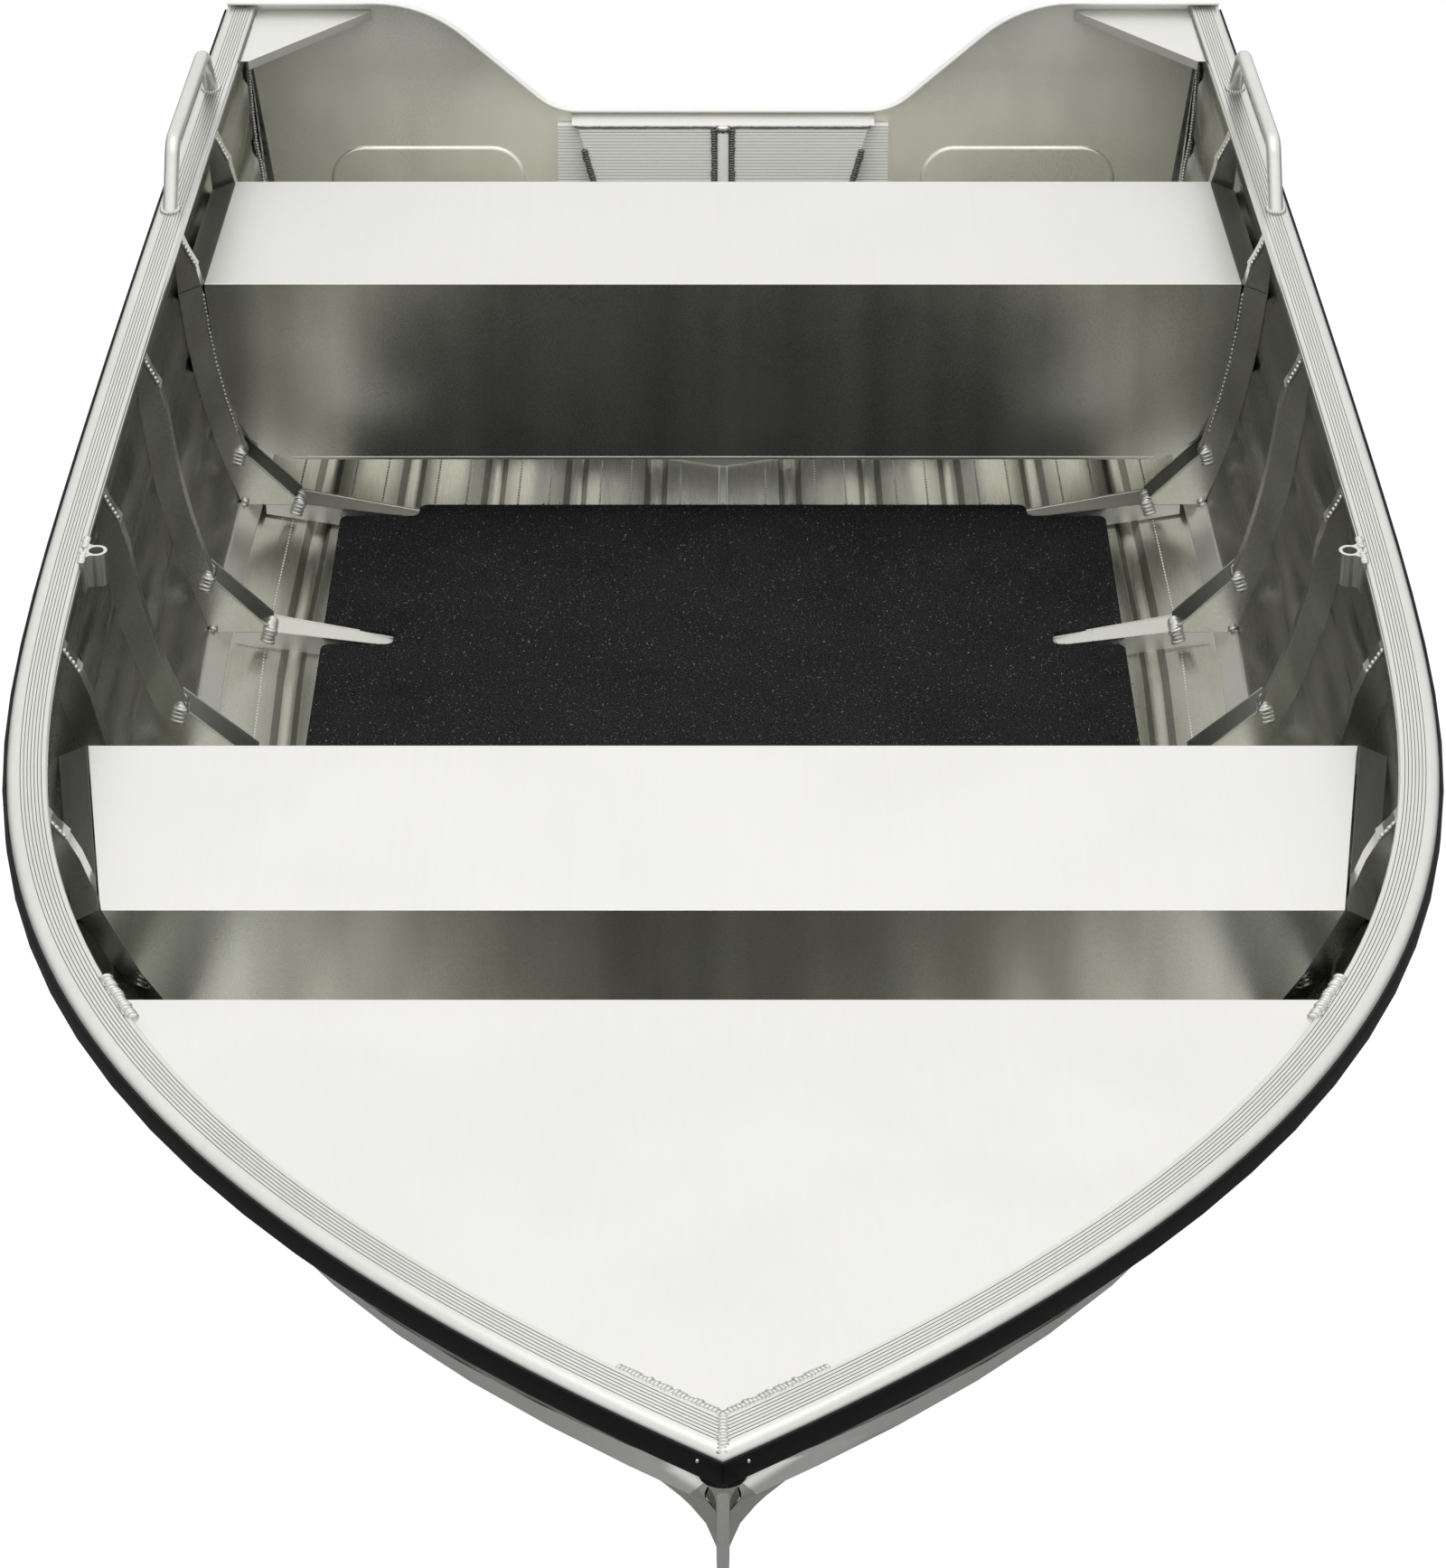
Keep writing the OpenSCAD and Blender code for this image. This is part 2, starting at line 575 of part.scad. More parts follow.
// Bow deck, which follows the gunwale's rise
deck_u = gunwale_w - 3;
module bow_deck() {
  run = [for (i = [0:14]) mix(0, deck_aft, i/14)];
  plan = [for (i = [0:16]) let (p = rim(mix(root(function (s) rim(s, deck_u, 0)[0], 0.5, 0, 300),
    deck_aft, pow(i/16, 1.3)), deck_u, 0)) [p[0], min(p[1], aft(deck_aft))]];
  color(bright) intersection() {
    translate([0, 0, freeboard - 60]) linear_extrude(sheer_rise + 80)
      polygon(both(concat(plan, [[gun_x(deck_aft) - deck_u, aft(deck_aft)]])));
    union() {
      centre_plate(concat([for (s = run) [aft(s), sheer_z(s) - deck_drop]],
        backward([for (s = run) [aft(s), sheer_z(s) - deck_drop - inner_t]])), beam);
      translate([-beam/2, aft(deck_aft) - inner_t, sheer_z(deck_aft) - deck_drop - deck_lip])
        cube([beam, inner_t, deck_lip]);
    }
  }
}

// Floor board with its carpet, notched round the ribs
board_z = freeboard - keel_depth + board_rise;
board_front = 1600;
function board_x(s) = min(board_w/2, chine_x(s)
  *(board_z - board_t - keel_z(s) - bottom_t - 4)/(chine_z(s) - keel_z(s)));
notch_gap = 6;
function floor_rib_top(s) = keel_z(s) + bottom_t + rib_fit(s) + 1 + floor_web;
function notch_x(s) = foot_x(s)*(board_z - board_t - 1 - floor_rib_top(s))/(foot_z(s) - floor_rib_top(s));
function notch(s) = let (front = aft(s - notch_gap), back = aft(s + rib_flange + notch_gap)) [
  [board_x(s - notch_gap), front], [notch_x(s), front], [notch_x(s), back],
  [board_x(s + rib_flange + notch_gap), back]];
module floor_board() {
  taper = [for (i = [0:6]) let (s = mix(board_front, rib_s(4) - notch_gap - 20, i/6)) [board_x(s), aft(s)]];
  tail = notch(rib_s(2));
  half = concat(taper, notch(rib_s(4)), [[board_x(2000), aft(2000)]], notch(rib_s(3)),
    [tail[0], tail[1], tail[2]]);
  color(pile) translate([0, 0, board_z - board_t]) linear_extrude(board_t) polygon(both(half));
}

// Rowlock socket: an extruded ring on two flared webs, welded to the gunwale's inner lip
socket_plate = 4;
socket_l = 56;
socket_x = gunwale_w + socket_plate + seam + rowlock_d/2 - 2;
module socket_section() {
  foot = [socket_x - gunwale_w - seam, socket_l/2];
  difference() {
    union() {
      circle(d = rowlock_d, $fn = 48);
      translate([foot[0] - socket_plate, -foot[1]]) square([socket_plate, socket_l]);
      difference() {
        polygon([[0, -rowlock_d/2 + 1], [foot[0] - 1, -foot[1] + 6], [foot[0] - 1, foot[1] - 6],
          [0, rowlock_d/2 - 1]]);
        for (side = [-1, 1]) translate([foot[0] - socket_plate - 8, side*(rowlock_d/2 + 8)])
          circle(r = 8.5, $fn = 32);
      }
    }
    circle(d = rowlock_bore, $fn = 48);
  }
}
module rowlock() {
  at = rim(rowlock_at, socket_x, -rowlock_h);
  color(rail) translate(at) rotate([0, 0, -atan(gun_slope(rowlock_at))])
    linear_extrude(rowlock_h) socket_section();
}

// Towing eye: a drilled lug on the stem bar's edge
eye_at = 500;
eye_hole = 16;
eye_t = 10;
eye_reach = 16;
eye_centre = keel_point(eye_at, keel_bar_depth + eye_reach);
module bow_eye() {
  base = keel_point(eye_at, keel_bar_depth);
  color(rail) rotate([90, 0, 90]) translate([0, 0, -eye_t/2]) linear_extrude(eye_t) difference() {
    union() {
      translate(eye_centre) circle(d = 34, $fn = 48);
      polygon([keel_point(eye_at - 30, keel_bar_depth - 4), eye_centre + [-12, -12],
        eye_centre + [12, -12], keel_point(eye_at + 30, keel_bar_depth - 4)]);
    }
    polygon(concat(keel_run(eye_at - 60, eye_at + 60, 6, keel_bar_depth + seam),
      backward(keel_run(eye_at - 60, eye_at + 60, 6, -60))));
    translate(eye_centre) circle(d = eye_hole, $fn = 48);
  }
}

// Drain through the transom, low beside the keel
drain_x = 60;
drain_y = -keel_depth + 62;
drain_d = 22;
module drain_bush() {
  color(rail) {
    on_transom(-5 - seam, 5) translate([drain_x, drain_y]) difference() {
      circle(d = 38, $fn = 48);
      circle(d = drain_d, $fn = 48);
    }
    on_transom(-3 - seam, 12) translate([drain_x, drain_y]) difference() {
      circle(d = drain_d + 6, $fn = 48);
      circle(d = drain_d, $fn = 48);
    }
  }
}

bottom_sheet();  // bottom_port
starboard() bottom_sheet();  // bottom_starboard
side_sheet();  // side_port
starboard() side_sheet();  // side_starboard
chine_profile();  // chine_port
starboard() chine_profile();  // chine_starboard
keel_bar();
stem_bar();
gunwale();  // gunwale_port
starboard() gunwale();  // gunwale_starboard
rubber_band();  // rubber_port
starboard() rubber_band();  // rubber_starboard
transom();
transom_cap();
inner_plank();
front_planks();
motor_pad();
centre_post();
corner_plate();  // corner_port
starboard() corner_plate();  // corner_starboard
handle();  // handle_port
starboard() handle();  // handle_starboard
rib(1);  // rib_1_port
starboard() rib(1);  // rib_1_starboard
rib(2);  // rib_2_port
starboard() rib(2);  // rib_2_starboard
rib(3);  // rib_3_port
starboard() rib(3);  // rib_3_starboard
rib(4);  // rib_4_port
starboard() rib(4);  // rib_4_starboard
rib(5);  // rib_5_port
starboard() rib(5);  // rib_5_starboard
rib(6);  // rib_6_port
starboard() rib(6);  // rib_6_starboard
floor_ribs();
seat(rear_front, rear_front + seat_l);  // rear_seat
seat(front_front, front_front + seat_l);  // front_seat
seat_ends(rear_front, rear_front + seat_l);  // rear_seat_ends
seat_ends(front_front, front_front + seat_l);  // front_seat_ends
bow_deck();
floor_board();
rowlock();  // rowlock_port
starboard() rowlock();  // rowlock_starboard
bow_eye();
drain_bush();
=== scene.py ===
"""Looks of an open aluminium boat: its metal, rubber and carpet finishes, grooved gunwales,
weld beads, stitched lines and screws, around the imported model."""

import math
import random

import bmesh
import bpy
from mathutils import Matrix, Vector


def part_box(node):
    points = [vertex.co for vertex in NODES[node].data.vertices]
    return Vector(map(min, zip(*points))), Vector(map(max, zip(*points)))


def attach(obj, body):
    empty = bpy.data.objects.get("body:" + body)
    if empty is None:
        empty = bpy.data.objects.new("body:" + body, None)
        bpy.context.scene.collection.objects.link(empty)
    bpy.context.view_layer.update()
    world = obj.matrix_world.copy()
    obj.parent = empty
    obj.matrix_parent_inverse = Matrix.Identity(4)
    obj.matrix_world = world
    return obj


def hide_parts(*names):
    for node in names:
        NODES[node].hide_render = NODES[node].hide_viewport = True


bl_info = {
    "name": "Open Aluminium Boat",
    "version": (1, 0, 0),
    "blender": (4, 5, 0),
    "location": "3D View > Sidebar > Boat",
    "description": "Dresses the packed boat in its metal, rubber and carpet finishes",
    "category": "Object",
}

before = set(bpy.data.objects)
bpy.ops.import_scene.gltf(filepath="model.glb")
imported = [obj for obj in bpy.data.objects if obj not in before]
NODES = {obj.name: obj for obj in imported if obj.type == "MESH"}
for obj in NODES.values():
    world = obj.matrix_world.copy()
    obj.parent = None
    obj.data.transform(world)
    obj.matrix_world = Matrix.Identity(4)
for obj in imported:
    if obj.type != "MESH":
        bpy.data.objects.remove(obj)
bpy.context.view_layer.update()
SIDES = (("port", 1), ("starboard", -1))
MM = 0.001


def length_prop(name, description, mm):
    return bpy.props.FloatProperty(
        name=name, description=description, default=mm * MM, unit="LENGTH")


def colour_prop(name, description, rgb):
    return bpy.props.FloatVectorProperty(
        name=name, description=description, default=rgb, subtype="COLOR", min=0, max=1)


def factor_prop(name, description, value):
    return bpy.props.FloatProperty(
        name=name, description=description, default=value, min=0, max=1, subtype="FACTOR")


class BoatHullSettings(bpy.types.PropertyGroup):
    """Lines of the hull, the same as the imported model's"""

    length: length_prop("Length", "From the gunwale's tip to the top of the transom", 3376)
    beam: length_prop("Beam", "Width over the gunwales", 1552)
    stern_w: length_prop("Stern width", "Width over the gunwales at the transom", 1448)
    widest: length_prop("Widest", "Distance of the widest section from the bow", 1690)
    fullness: bpy.props.FloatProperty(
        name="Fullness", description="Fullness of the bow seen from above", default=2.7)
    freeboard: length_prop("Freeboard", "Height of the gunwale over the water", 450)
    sheer_rise: length_prop("Sheer rise", "Rise of the gunwale to the bow", 130)
    keel_depth: length_prop("Keel depth", "Depth of the bottom at the keel", 560)
    keel_rocker: length_prop("Keel rocker", "Rise of the keel line to the transom", 18)
    chine_depth: length_prop("Chine depth", "Depth of the chine under the gunwale", 440)
    chine_rise: length_prop("Chine rise", "Rise of the chine to the bow", 520)
    stem_rise: length_prop("Stem rise", "Rise of the keel line to the bow", 640)
    forefoot: length_prop("Forefoot", "Where the stem runs out into the keel", 1150)
    chine_full_at: length_prop("Chine full at", "Last station with the chine's full depth", 2282)
    chine_share: factor_prop("Chine share", "The chine's share of the gunwale's width", 0.87)
    nose_share: factor_prop("Nose share", "The same share at the bow", 0.64)
    rib_aft: length_prop("Aftmost rib", "Station of the first rib, counted from the stern", 2963)
    rib_pitch: length_prop("Rib pitch", "Distance between the aft ribs", 335)
    rib_growth: length_prop("Rib growth", "Each bay forward is longer by this much", 9)
    rib_depth: length_prop("Rib depth", "Depth of a rib's web", 32)
    rib_flange: length_prop("Rib flange", "Width of a rib's flange", 20)
    knee_reach: length_prop("Knee reach", "Reach of a knee inside the chine", 76)
    knee_rise: length_prop("Knee rise", "Height of a knee over the chine", 95)
    knee_flange: length_prop("Knee flange", "Width of the flanges on the knees and floor ribs", 42)
    floor_rib_h: length_prop("Floor rib", "Height of a floor rib's middle over the keel", 54.6)
    deck_aft: length_prop("Deck's edge", "Station of the bow deck's aft edge", 795)
    deck_drop: length_prop("Deck drop", "Depth of the deck under the gunwale's top", 14)
    dip_depth: length_prop("Dip", "Depth of the transom's dip", 158)
    dip_flat: length_prop("Dip's flat", "Width of the dip's level bottom", 430)
    dip_shoulder_r: length_prop("Dip's shoulder", "Radius of the dip's shoulders", 200)
    dip_foot_r: length_prop("Dip's foot", "Radius at the foot of the dip's slopes", 90)
    dip_slope: bpy.props.FloatProperty(
        name="Dip's slope", description="Slope of the dip's sides",
        default=math.radians(40), unit="ROTATION")
    stern_run: length_prop("Stern run", "The transom's slope over the depth of the sides", 110)
    rake: bpy.props.FloatProperty(
        name="Transom rake", description="Slope of the transom",
        default=math.radians(12), unit="ROTATION")
    gunwale_w: length_prop("Gunwale width", "Width of the gunwale profile", 43)
    gunwale_h: length_prop("Gunwale height", "Height of the gunwale's outer wall", 30)
    sheet_inset: length_prop("Sheet inset", "Side sheet in painted shade behind the gunwale's outer face", 22)
    gunwale_wall: length_prop("Gunwale wall", "Wall of the gunwale profile", 5)


class BoatFinishSettings(bpy.types.PropertyGroup):
    """Colours and gloss of the boat's finishes"""

    sheet_colour: colour_prop("Sheet", "Rolled sheet of the bottom", (0.58, 0.58, 0.52))
    # The sides' rolled sheet is painted darker than the bottom's: painted shade
    side_shade_colour: colour_prop("Side sheet in painted shade", "Rolled sheet of the sides", (0.37, 0.375, 0.335))
    rib_colour: colour_prop("Ribs", "Pressed ribs and their knees", (0.80, 0.80, 0.74))
    transom_colour: colour_prop("Transom", "Rolled sheet of the transom", (0.84, 0.83, 0.755))
    # The seat fronts take broad upright bands of painted reflection
    front_reflection_colour: colour_prop("Seat fronts", "Upright faces of the seats", (0.80, 0.80, 0.745))
    bright_colour: colour_prop("Bright sheet", "Seats and deck", (0.875, 0.87, 0.84))
    rail_colour: colour_prop("Extrusions", "Gunwales and bars", (0.78, 0.78, 0.745))
    plank_colour: colour_prop("Planks", "Planks, post and cap of the transom", (0.97, 0.97, 0.94))
    weld_colour: colour_prop("Welds", "Weld beads", (0.64, 0.64, 0.60))
    shade_colour: colour_prop("Flute flanks", "Shaded flanks of the flutes", (0.24, 0.24, 0.21))
    # The planks' grooves are painted darker than the planks: painted shade, lighter than the
    # gunwales'
    plank_groove_shade: colour_prop("Plank grooves", "Bottom of the planks' grooves", (0.5, 0.5, 0.47))
    # The fine grooves' walls and bottoms are painted dark: painted shade
    groove_shade_colour: colour_prop("Grooves", "Bottom of the fine grooves", (0.22, 0.22, 0.205))
    # Painted shade on the knees and their flanges; also the darker flanges at the seats' ends and the
    # dark plank welds
    dark_and_shade_colour: colour_prop("Seat ends", "Darker flanges at the seats' ends, painted shade on the knees, dark welds", (0.22, 0.225, 0.21))
    rubber_colour: colour_prop("Rubber", "Band along the gunwales", (0.006, 0.006, 0.006))
    carpet_colour: colour_prop("Carpet", "Carpet's pile", (0.005, 0.005, 0.0053))
    fleck_colour: colour_prop("Flecks", "Light fibres in the carpet", (0.32, 0.325, 0.325))
    sheet_roughness: factor_prop("Sheet roughness", "Roughness of rolled sheet", 0.29)
    seat_roughness: factor_prop("Seat roughness", "Roughness of the seats' sheet", 0.27)
    bright_roughness: factor_prop("Bright roughness", "Roughness of bright sheet", 0.42)


class BoatDetailSettings(bpy.types.PropertyGroup):
    """Sizes of the small details"""

    grooves: bpy.props.IntProperty(
        name="Grooves", description="Fine grooves along the gunwale's top", default=7)
    groove_w: length_prop("Groove width", "Width of a groove in the gunwale", 0.9)
    groove_depth: length_prop("Groove depth", "Depth of a groove in the gunwale", 0.6)
    edge_r: length_prop("Edge radius", "Radius of folded and cut edges", 1.2)
    plank_pitch: length_prop("Plank grooves", "Distance between the grooves of a plank", 4.6)
    panel_x: length_prop("Panel's place", "Middle of a transom panel from the centreline", 435)
    panel_w: length_prop("Panel width", "Width of a raised panel of the transom", 288)
    panel_h: length_prop("Panel height", "Height of a raised panel", 150)
    panel_drop: length_prop("Panel drop", "Depth of the panels under the transom's top", 211)
    panel_r: length_prop("Panel radius", "Radius of a raised panel's corners", 50)
    weld_pitch: length_prop("Weld pitch", "Distance between the scales of a weld", 4.2)
    stitch_pitch: length_prop("Stitch pitch", "Distance between the dots beside a flute", 8)
    stitch_d: length_prop("Stitch dot", "Diameter of a dot beside a flute", 4.2)
    stitch_offset: length_prop("Stitch offset", "Dotted line's distance from a flute", 37)
    pile: length_prop("Pile", "Height of the carpet's pile", 2.2)
    fibres: bpy.props.IntProperty(
        name="Fibres", description="Light fibres that stand in the carpet", default=40000)


class BoatStageSettings(bpy.types.PropertyGroup):
    """Camera and light"""

    camera_back: length_prop("Camera back", "Camera's distance ahead of the midship section", 4410.3)
    camera_up: length_prop("Camera up", "Camera's height over the water", 2915.3)
    pitch: bpy.props.FloatProperty(
        name="Pitch", description="Angle of the camera below the horizon",
        default=math.radians(32), unit="ROTATION")
    lens: bpy.props.FloatProperty(
        name="Lens", description="Focal length for a 36 mm sensor", default=101.86, unit="CAMERA")
    sky: bpy.props.FloatProperty(
        name="Sky", description="Strength of the even light from above", default=0.95)
    backlight: bpy.props.FloatProperty(
        name="Backlight", description="Strength of the light from behind the stern", default=0.9)
    horizon: bpy.props.FloatProperty(
        name="Horizon", description="Strength of the light from low down", default=0.16)
    lamp: bpy.props.FloatProperty(
        name="Lamp", description="Power of the soft lamp overhead", default=40, unit="POWER")


def hull():
    return bpy.context.scene.boat_hull


def finish():
    return bpy.context.scene.boat_finish


def detail():
    return bpy.context.scene.boat_detail


def clip(value, low, high):
    return max(low, min(high, value))


def mix(a, b, share):
    return a + (b - a) * share


class Lines:
    """The hull's lines: s is a distance aft of the gunwale's tip, in metres"""

    def __init__(self):
        self.h = hull()
        self.half = self.h.length / 2

    def aft(self, s):
        return s - self.half

    def gun_x(self, s):
        h = self.h
        if s < h.widest:
            return h.beam / 2 * (1 - (1 - s / h.widest) ** h.fullness)
        share = (s - h.widest) / (h.length - h.widest)
        return h.beam / 2 - (h.beam - h.stern_w) / 2 * share ** 1.3

    def slope(self, s):
        return (self.gun_x(s + MM) - self.gun_x(s - MM)) / (2 * MM)

    def spread(self, s):
        return math.hypot(1, self.slope(s))

    def sheer_z(self, s):
        return self.h.freeboard + self.h.sheer_rise * max(0, 1 - s / self.half) ** 2

    def chine_x(self, s):
        h = self.h
        share = clip(s / h.chine_full_at, 0, 1) ** 0.75
        return self.gun_x(s) * mix(h.nose_share, h.chine_share, share)

    def chine_z(self, s):
        h = self.h
        return h.freeboard - h.chine_depth + h.chine_rise * max(0, 1 - s / h.chine_full_at) ** 1.82

    def keel_z(self, s):
        h = self.h
        return (h.freeboard - h.keel_depth + h.stem_rise * max(0, 1 - s / h.forefoot) ** 2.22
                + h.keel_rocker * max(0, (s - self.half) / self.half) ** 2)

    def hollow(self, s):
        return mix(0.5, 1, clip(s / 1.2, 0, 1))

    def bottom(self, s, r, up=0.0):
        """A point on the bottom: r runs from 0 at the keel to 1 at the chine"""
        return Vector((mix(0.006, self.chine_x(s), r), self.aft(s),
                       mix(self.keel_z(s), self.chine_z(s), r ** self.hollow(s)) + up))

    def rim(self, s, u, v):
        """A point on the gunwale's profile: u inward from its outer face, v up from its top"""
        slope, spread = self.slope(s), self.spread(s)
        return Vector((self.gun_x(s) - u / spread, self.aft(s + u * slope / spread),
                       self.sheer_z(s) + v))

    def side(self, s, t):
        """A point on a side sheet's outer face: t runs from 0 at the gunwale to 1 at the chine"""
        bulge = mix(1, 2.2, clip((s - 0.3) / 1.5, 0, 1))
        x = mix(self.gun_x(s) - self.h.sheet_inset * self.spread(s), self.chine_x(s), t ** bulge)
        top = self.sheer_z(s) - self.h.gunwale_wall - 0.0006
        return Vector((x, self.aft(s), mix(top, self.chine_z(s), t)))

    def rib_s(self, number):
        h, bays = self.h, number - 1
        return h.rib_aft - bays * h.rib_pitch - bays * bays * h.rib_growth / 2

    def rib_fit(self, s):
        return 0.0006 * (1 + clip((self.h.widest - s) / 0.5, 0, 1))

    def inner(self, s, t):
        """A point on a side sheet's inner face, at a rib"""
        point = self.side(s, t)
        point.x -= (0.002 + self.rib_fit(s)) * self.spread(s)
        return point

    def inner_at(self, s, z):
        """The same at a height z"""
        top = self.side(s, 0).z
        return self.inner(s, clip((top - z) / (top - self.chine_z(s)), 0, 1))

    def rib_edge(self, s, t, lift=0.0):
        """A point on the inner edge of a rib"""
        point = self.inner(s, t)
        reach = self.h.rib_depth * clip((t - 0.02) / 0.15, 0.3, 1)
        point.x -= reach * self.spread(s) + lift
        point.z += reach * t ** 3 * 0.45
        return point

    def transom(self, x, up, front):
        """A point in the transom's plane: up along its slope, front ahead of its outer face"""
        rake = self.h.rake
        return Vector((x, self.half - front * math.cos(rake) + up * math.sin(rake),
                       self.h.freeboard + front * math.sin(rake) + up * math.cos(rake)))

    def arc(self, x, up, radius, start, end, count):
        return [(x + radius * math.cos(a), up + radius * math.sin(a))
                for a in (mix(start, end, k / count) for k in range(count + 1))]

    def transom_half(self):
        """The port half of the transom's outline, as pairs of x and height along its slope"""
        h = self.h
        spots = [self.bottom(h.length - h.stern_run, r) for r in (0.02, 0.5, 1)]
        spots += [self.side(h.length - h.stern_run * t, t) for t in (0.85, 0.7, 0.5, 0.25)]
        outline = [(p.x, (p.z - h.freeboard) / math.cos(h.rake)) for p in spots]
        corner = self.gun_x(h.length) - MM
        outline += [(corner, -h.gunwale_h), (corner, 0)]
        level, turn, both_r = h.dip_slope, math.pi / 2, h.dip_shoulder_r + h.dip_foot_r
        run = (h.dip_depth - both_r * (1 - math.cos(level))) / math.sin(level)
        shoulder = h.dip_flat / 2 + both_r * math.sin(level) + run * math.cos(level)
        outline += self.arc(shoulder, -h.dip_shoulder_r, h.dip_shoulder_r, turn, turn + level, 10)
        return outline + self.arc(h.dip_flat / 2, h.dip_foot_r - h.dip_depth, h.dip_foot_r,
                                  3 * turn + level, 3 * turn, 8)

    def rim_start(self, u):
        """The station where a line of the gunwale's profile meets the centreline"""
        low, high = -0.06, 0.3
        for _ in range(40):
            middle = (low + high) / 2
            low, high = (low, middle) if self.rim(middle, u, 0).x > 0 else (middle, high)
        return low


def new_object(name, mesh):
    made = bpy.data.objects.new(name, mesh)
    bpy.context.scene.collection.objects.link(made)
    return made


def mesh_from(bm, name, smooth=50):
    mesh = bpy.data.meshes.new(name)
    bm.to_mesh(mesh)
    bm.free()
    mesh.polygons.foreach_set("use_smooth", [True] * len(mesh.polygons))
    mesh.set_sharp_from_angle(angle=math.radians(smooth))
    return mesh


def piece(bm, name, material, replaced=(), smooth=50, weighted=False, second=None):
    """A finished piece of the boat from a bmesh"""
    made = new_object(name, mesh_from(bm, name, smooth))
    made.data.materials.append(material)
    if second:
        made.data.materials.append(second)
    if weighted:
        normals = made.modifiers.new("Flat faces", "WEIGHTED_NORMAL")
        normals.keep_sharp = True
        normals.weight = 80
    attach(made, "root")
    if replaced:
        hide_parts(*replaced)
    return made


def node_bmesh(node, flat_limit=0.5):
    """A CAD node's mesh with its doubles merged and its flat faces whole"""
    bm = bmesh.new()
    bm.from_mesh(NODES[node].data)
    bmesh.ops.remove_doubles(bm, verts=bm.verts, dist=1e-5)
    if flat_limit:
        bmesh.ops.dissolve_limit(
            bm, angle_limit=math.radians(flat_limit), verts=bm.verts, edges=bm.edges)
    return bm


def folded_edges(bm, angle=40):
    least = math.radians(angle)
    return [e for e in bm.edges if len(e.link_faces) == 2 and e.calc_face_angle(0) > least]


def round_edges(bm, radius, angle=40, segments=2):
    bmesh.ops.bevel(
        bm, geom=folded_edges(bm, angle), offset=radius, offset_type="OFFSET",
        segments=segments, profile=0.5, affect="EDGES", clamp_overlap=True, material=-1)


def dress(node, name, material, radius=None, angle=40, segments=2, curved=False,
          second=None, where=None):
    """A copy of a CAD node with rounded edges, which stands for it

    The faces for which where is true take the second material."""
    bm = node_bmesh(node, 0 if curved else 0.5)
    if curved:
        bmesh.ops.join_triangles(
            bm, faces=[f for f in bm.faces if abs(f.normal.y) < 0.9],
            angle_face_threshold=math.radians(12),
            angle_shape_threshold=math.radians(180))
    radius = detail().edge_r if radius is None else radius
    if radius:
        round_edges(bm, radius, angle, segments)
    if where:
        for face in bm.faces:
            face.material_index = int(where(face))
    return piece(bm, name, material, [node], smooth=50, weighted=not curved, second=second)


def sweep(rings, closed=True, marks=()):
    """A bmesh swept through rings of points, by extruding the first ring's edges along

    marks holds the numbers of the edges whose faces take the second material."""
    bm = bmesh.new()
    verts = [bm.verts.new(p) for p in rings[0]]
    count = len(verts)
    last = count if closed else count - 1
    edges = [bm.edges.new((verts[k], verts[(k + 1) % count])) for k in range(last)]
    if closed:
        bmesh.ops.contextual_create(bm, geom=edges)
    for ring in rings[1:]:
        made = bmesh.ops.extrude_edge_only(bm, edges=edges)["geom"]
        fresh = {g for g in made if isinstance(g, bmesh.types.BMVert)}
        verts = [next(e.other_vert(v) for e in v.link_edges if e.other_vert(v) in fresh)
                 for v in verts]
        edges = [bm.edges.get((verts[k], verts[(k + 1) % count])) for k in range(last)]
        for vert, point in zip(verts, ring):
            vert.co = point
        for k in marks:
            edges[k].link_faces[0].material_index = 1
    if closed:
        bmesh.ops.contextual_create(bm, geom=edges)
    bmesh.ops.recalc_face_normals(bm, faces=bm.faces)
    return bm


def mirrored(bm):
    bmesh.ops.scale(bm, vec=(-1, 1, 1), verts=bm.verts)
    bmesh.ops.reverse_faces(bm, faces=bm.faces)
    return bm


# Shader groups


def socket(group, name, kind, way="INPUT", default=None):
    made = group.interface.new_socket(name=name, in_out=way, socket_type=kind)
    if default is not None:
        made.default_value = default
    return made


def link(tree, start, end):
    tree.links.new(start, end)


def new_node(tree, kind, **values):
    made = tree.nodes.new(kind)
    for key, value in values.items():
        setattr(made, key, value)
    return made


def math_node(tree, operation, first, second):
    made = new_node(tree, "ShaderNodeMath", operation=operation)
    for index, value in enumerate((first, second)):
        if isinstance(value, (int, float)):
            made.inputs[index].default_value = value
        else:
            link(tree, value, made.inputs[index])
    return made.outputs[0]


def scaled_noise(tree, vector, stretch, scale, octaves=3):
    """Noise on a vector stretched along its axes"""
    mapping = new_node(tree, "ShaderNodeMapping")
    if isinstance(stretch, tuple):
        mapping.inputs["Scale"].default_value = stretch
    else:
        link(tree, stretch, mapping.inputs["Scale"])
    link(tree, vector, mapping.inputs["Vector"])
    noise = new_node(tree, "ShaderNodeTexNoise")
    noise.inputs["Scale"].default_value = scale
    noise.inputs["Detail"].default_value = octaves
    link(tree, mapping.outputs[0], noise.inputs["Vector"])
    return noise.outputs["Fac"]


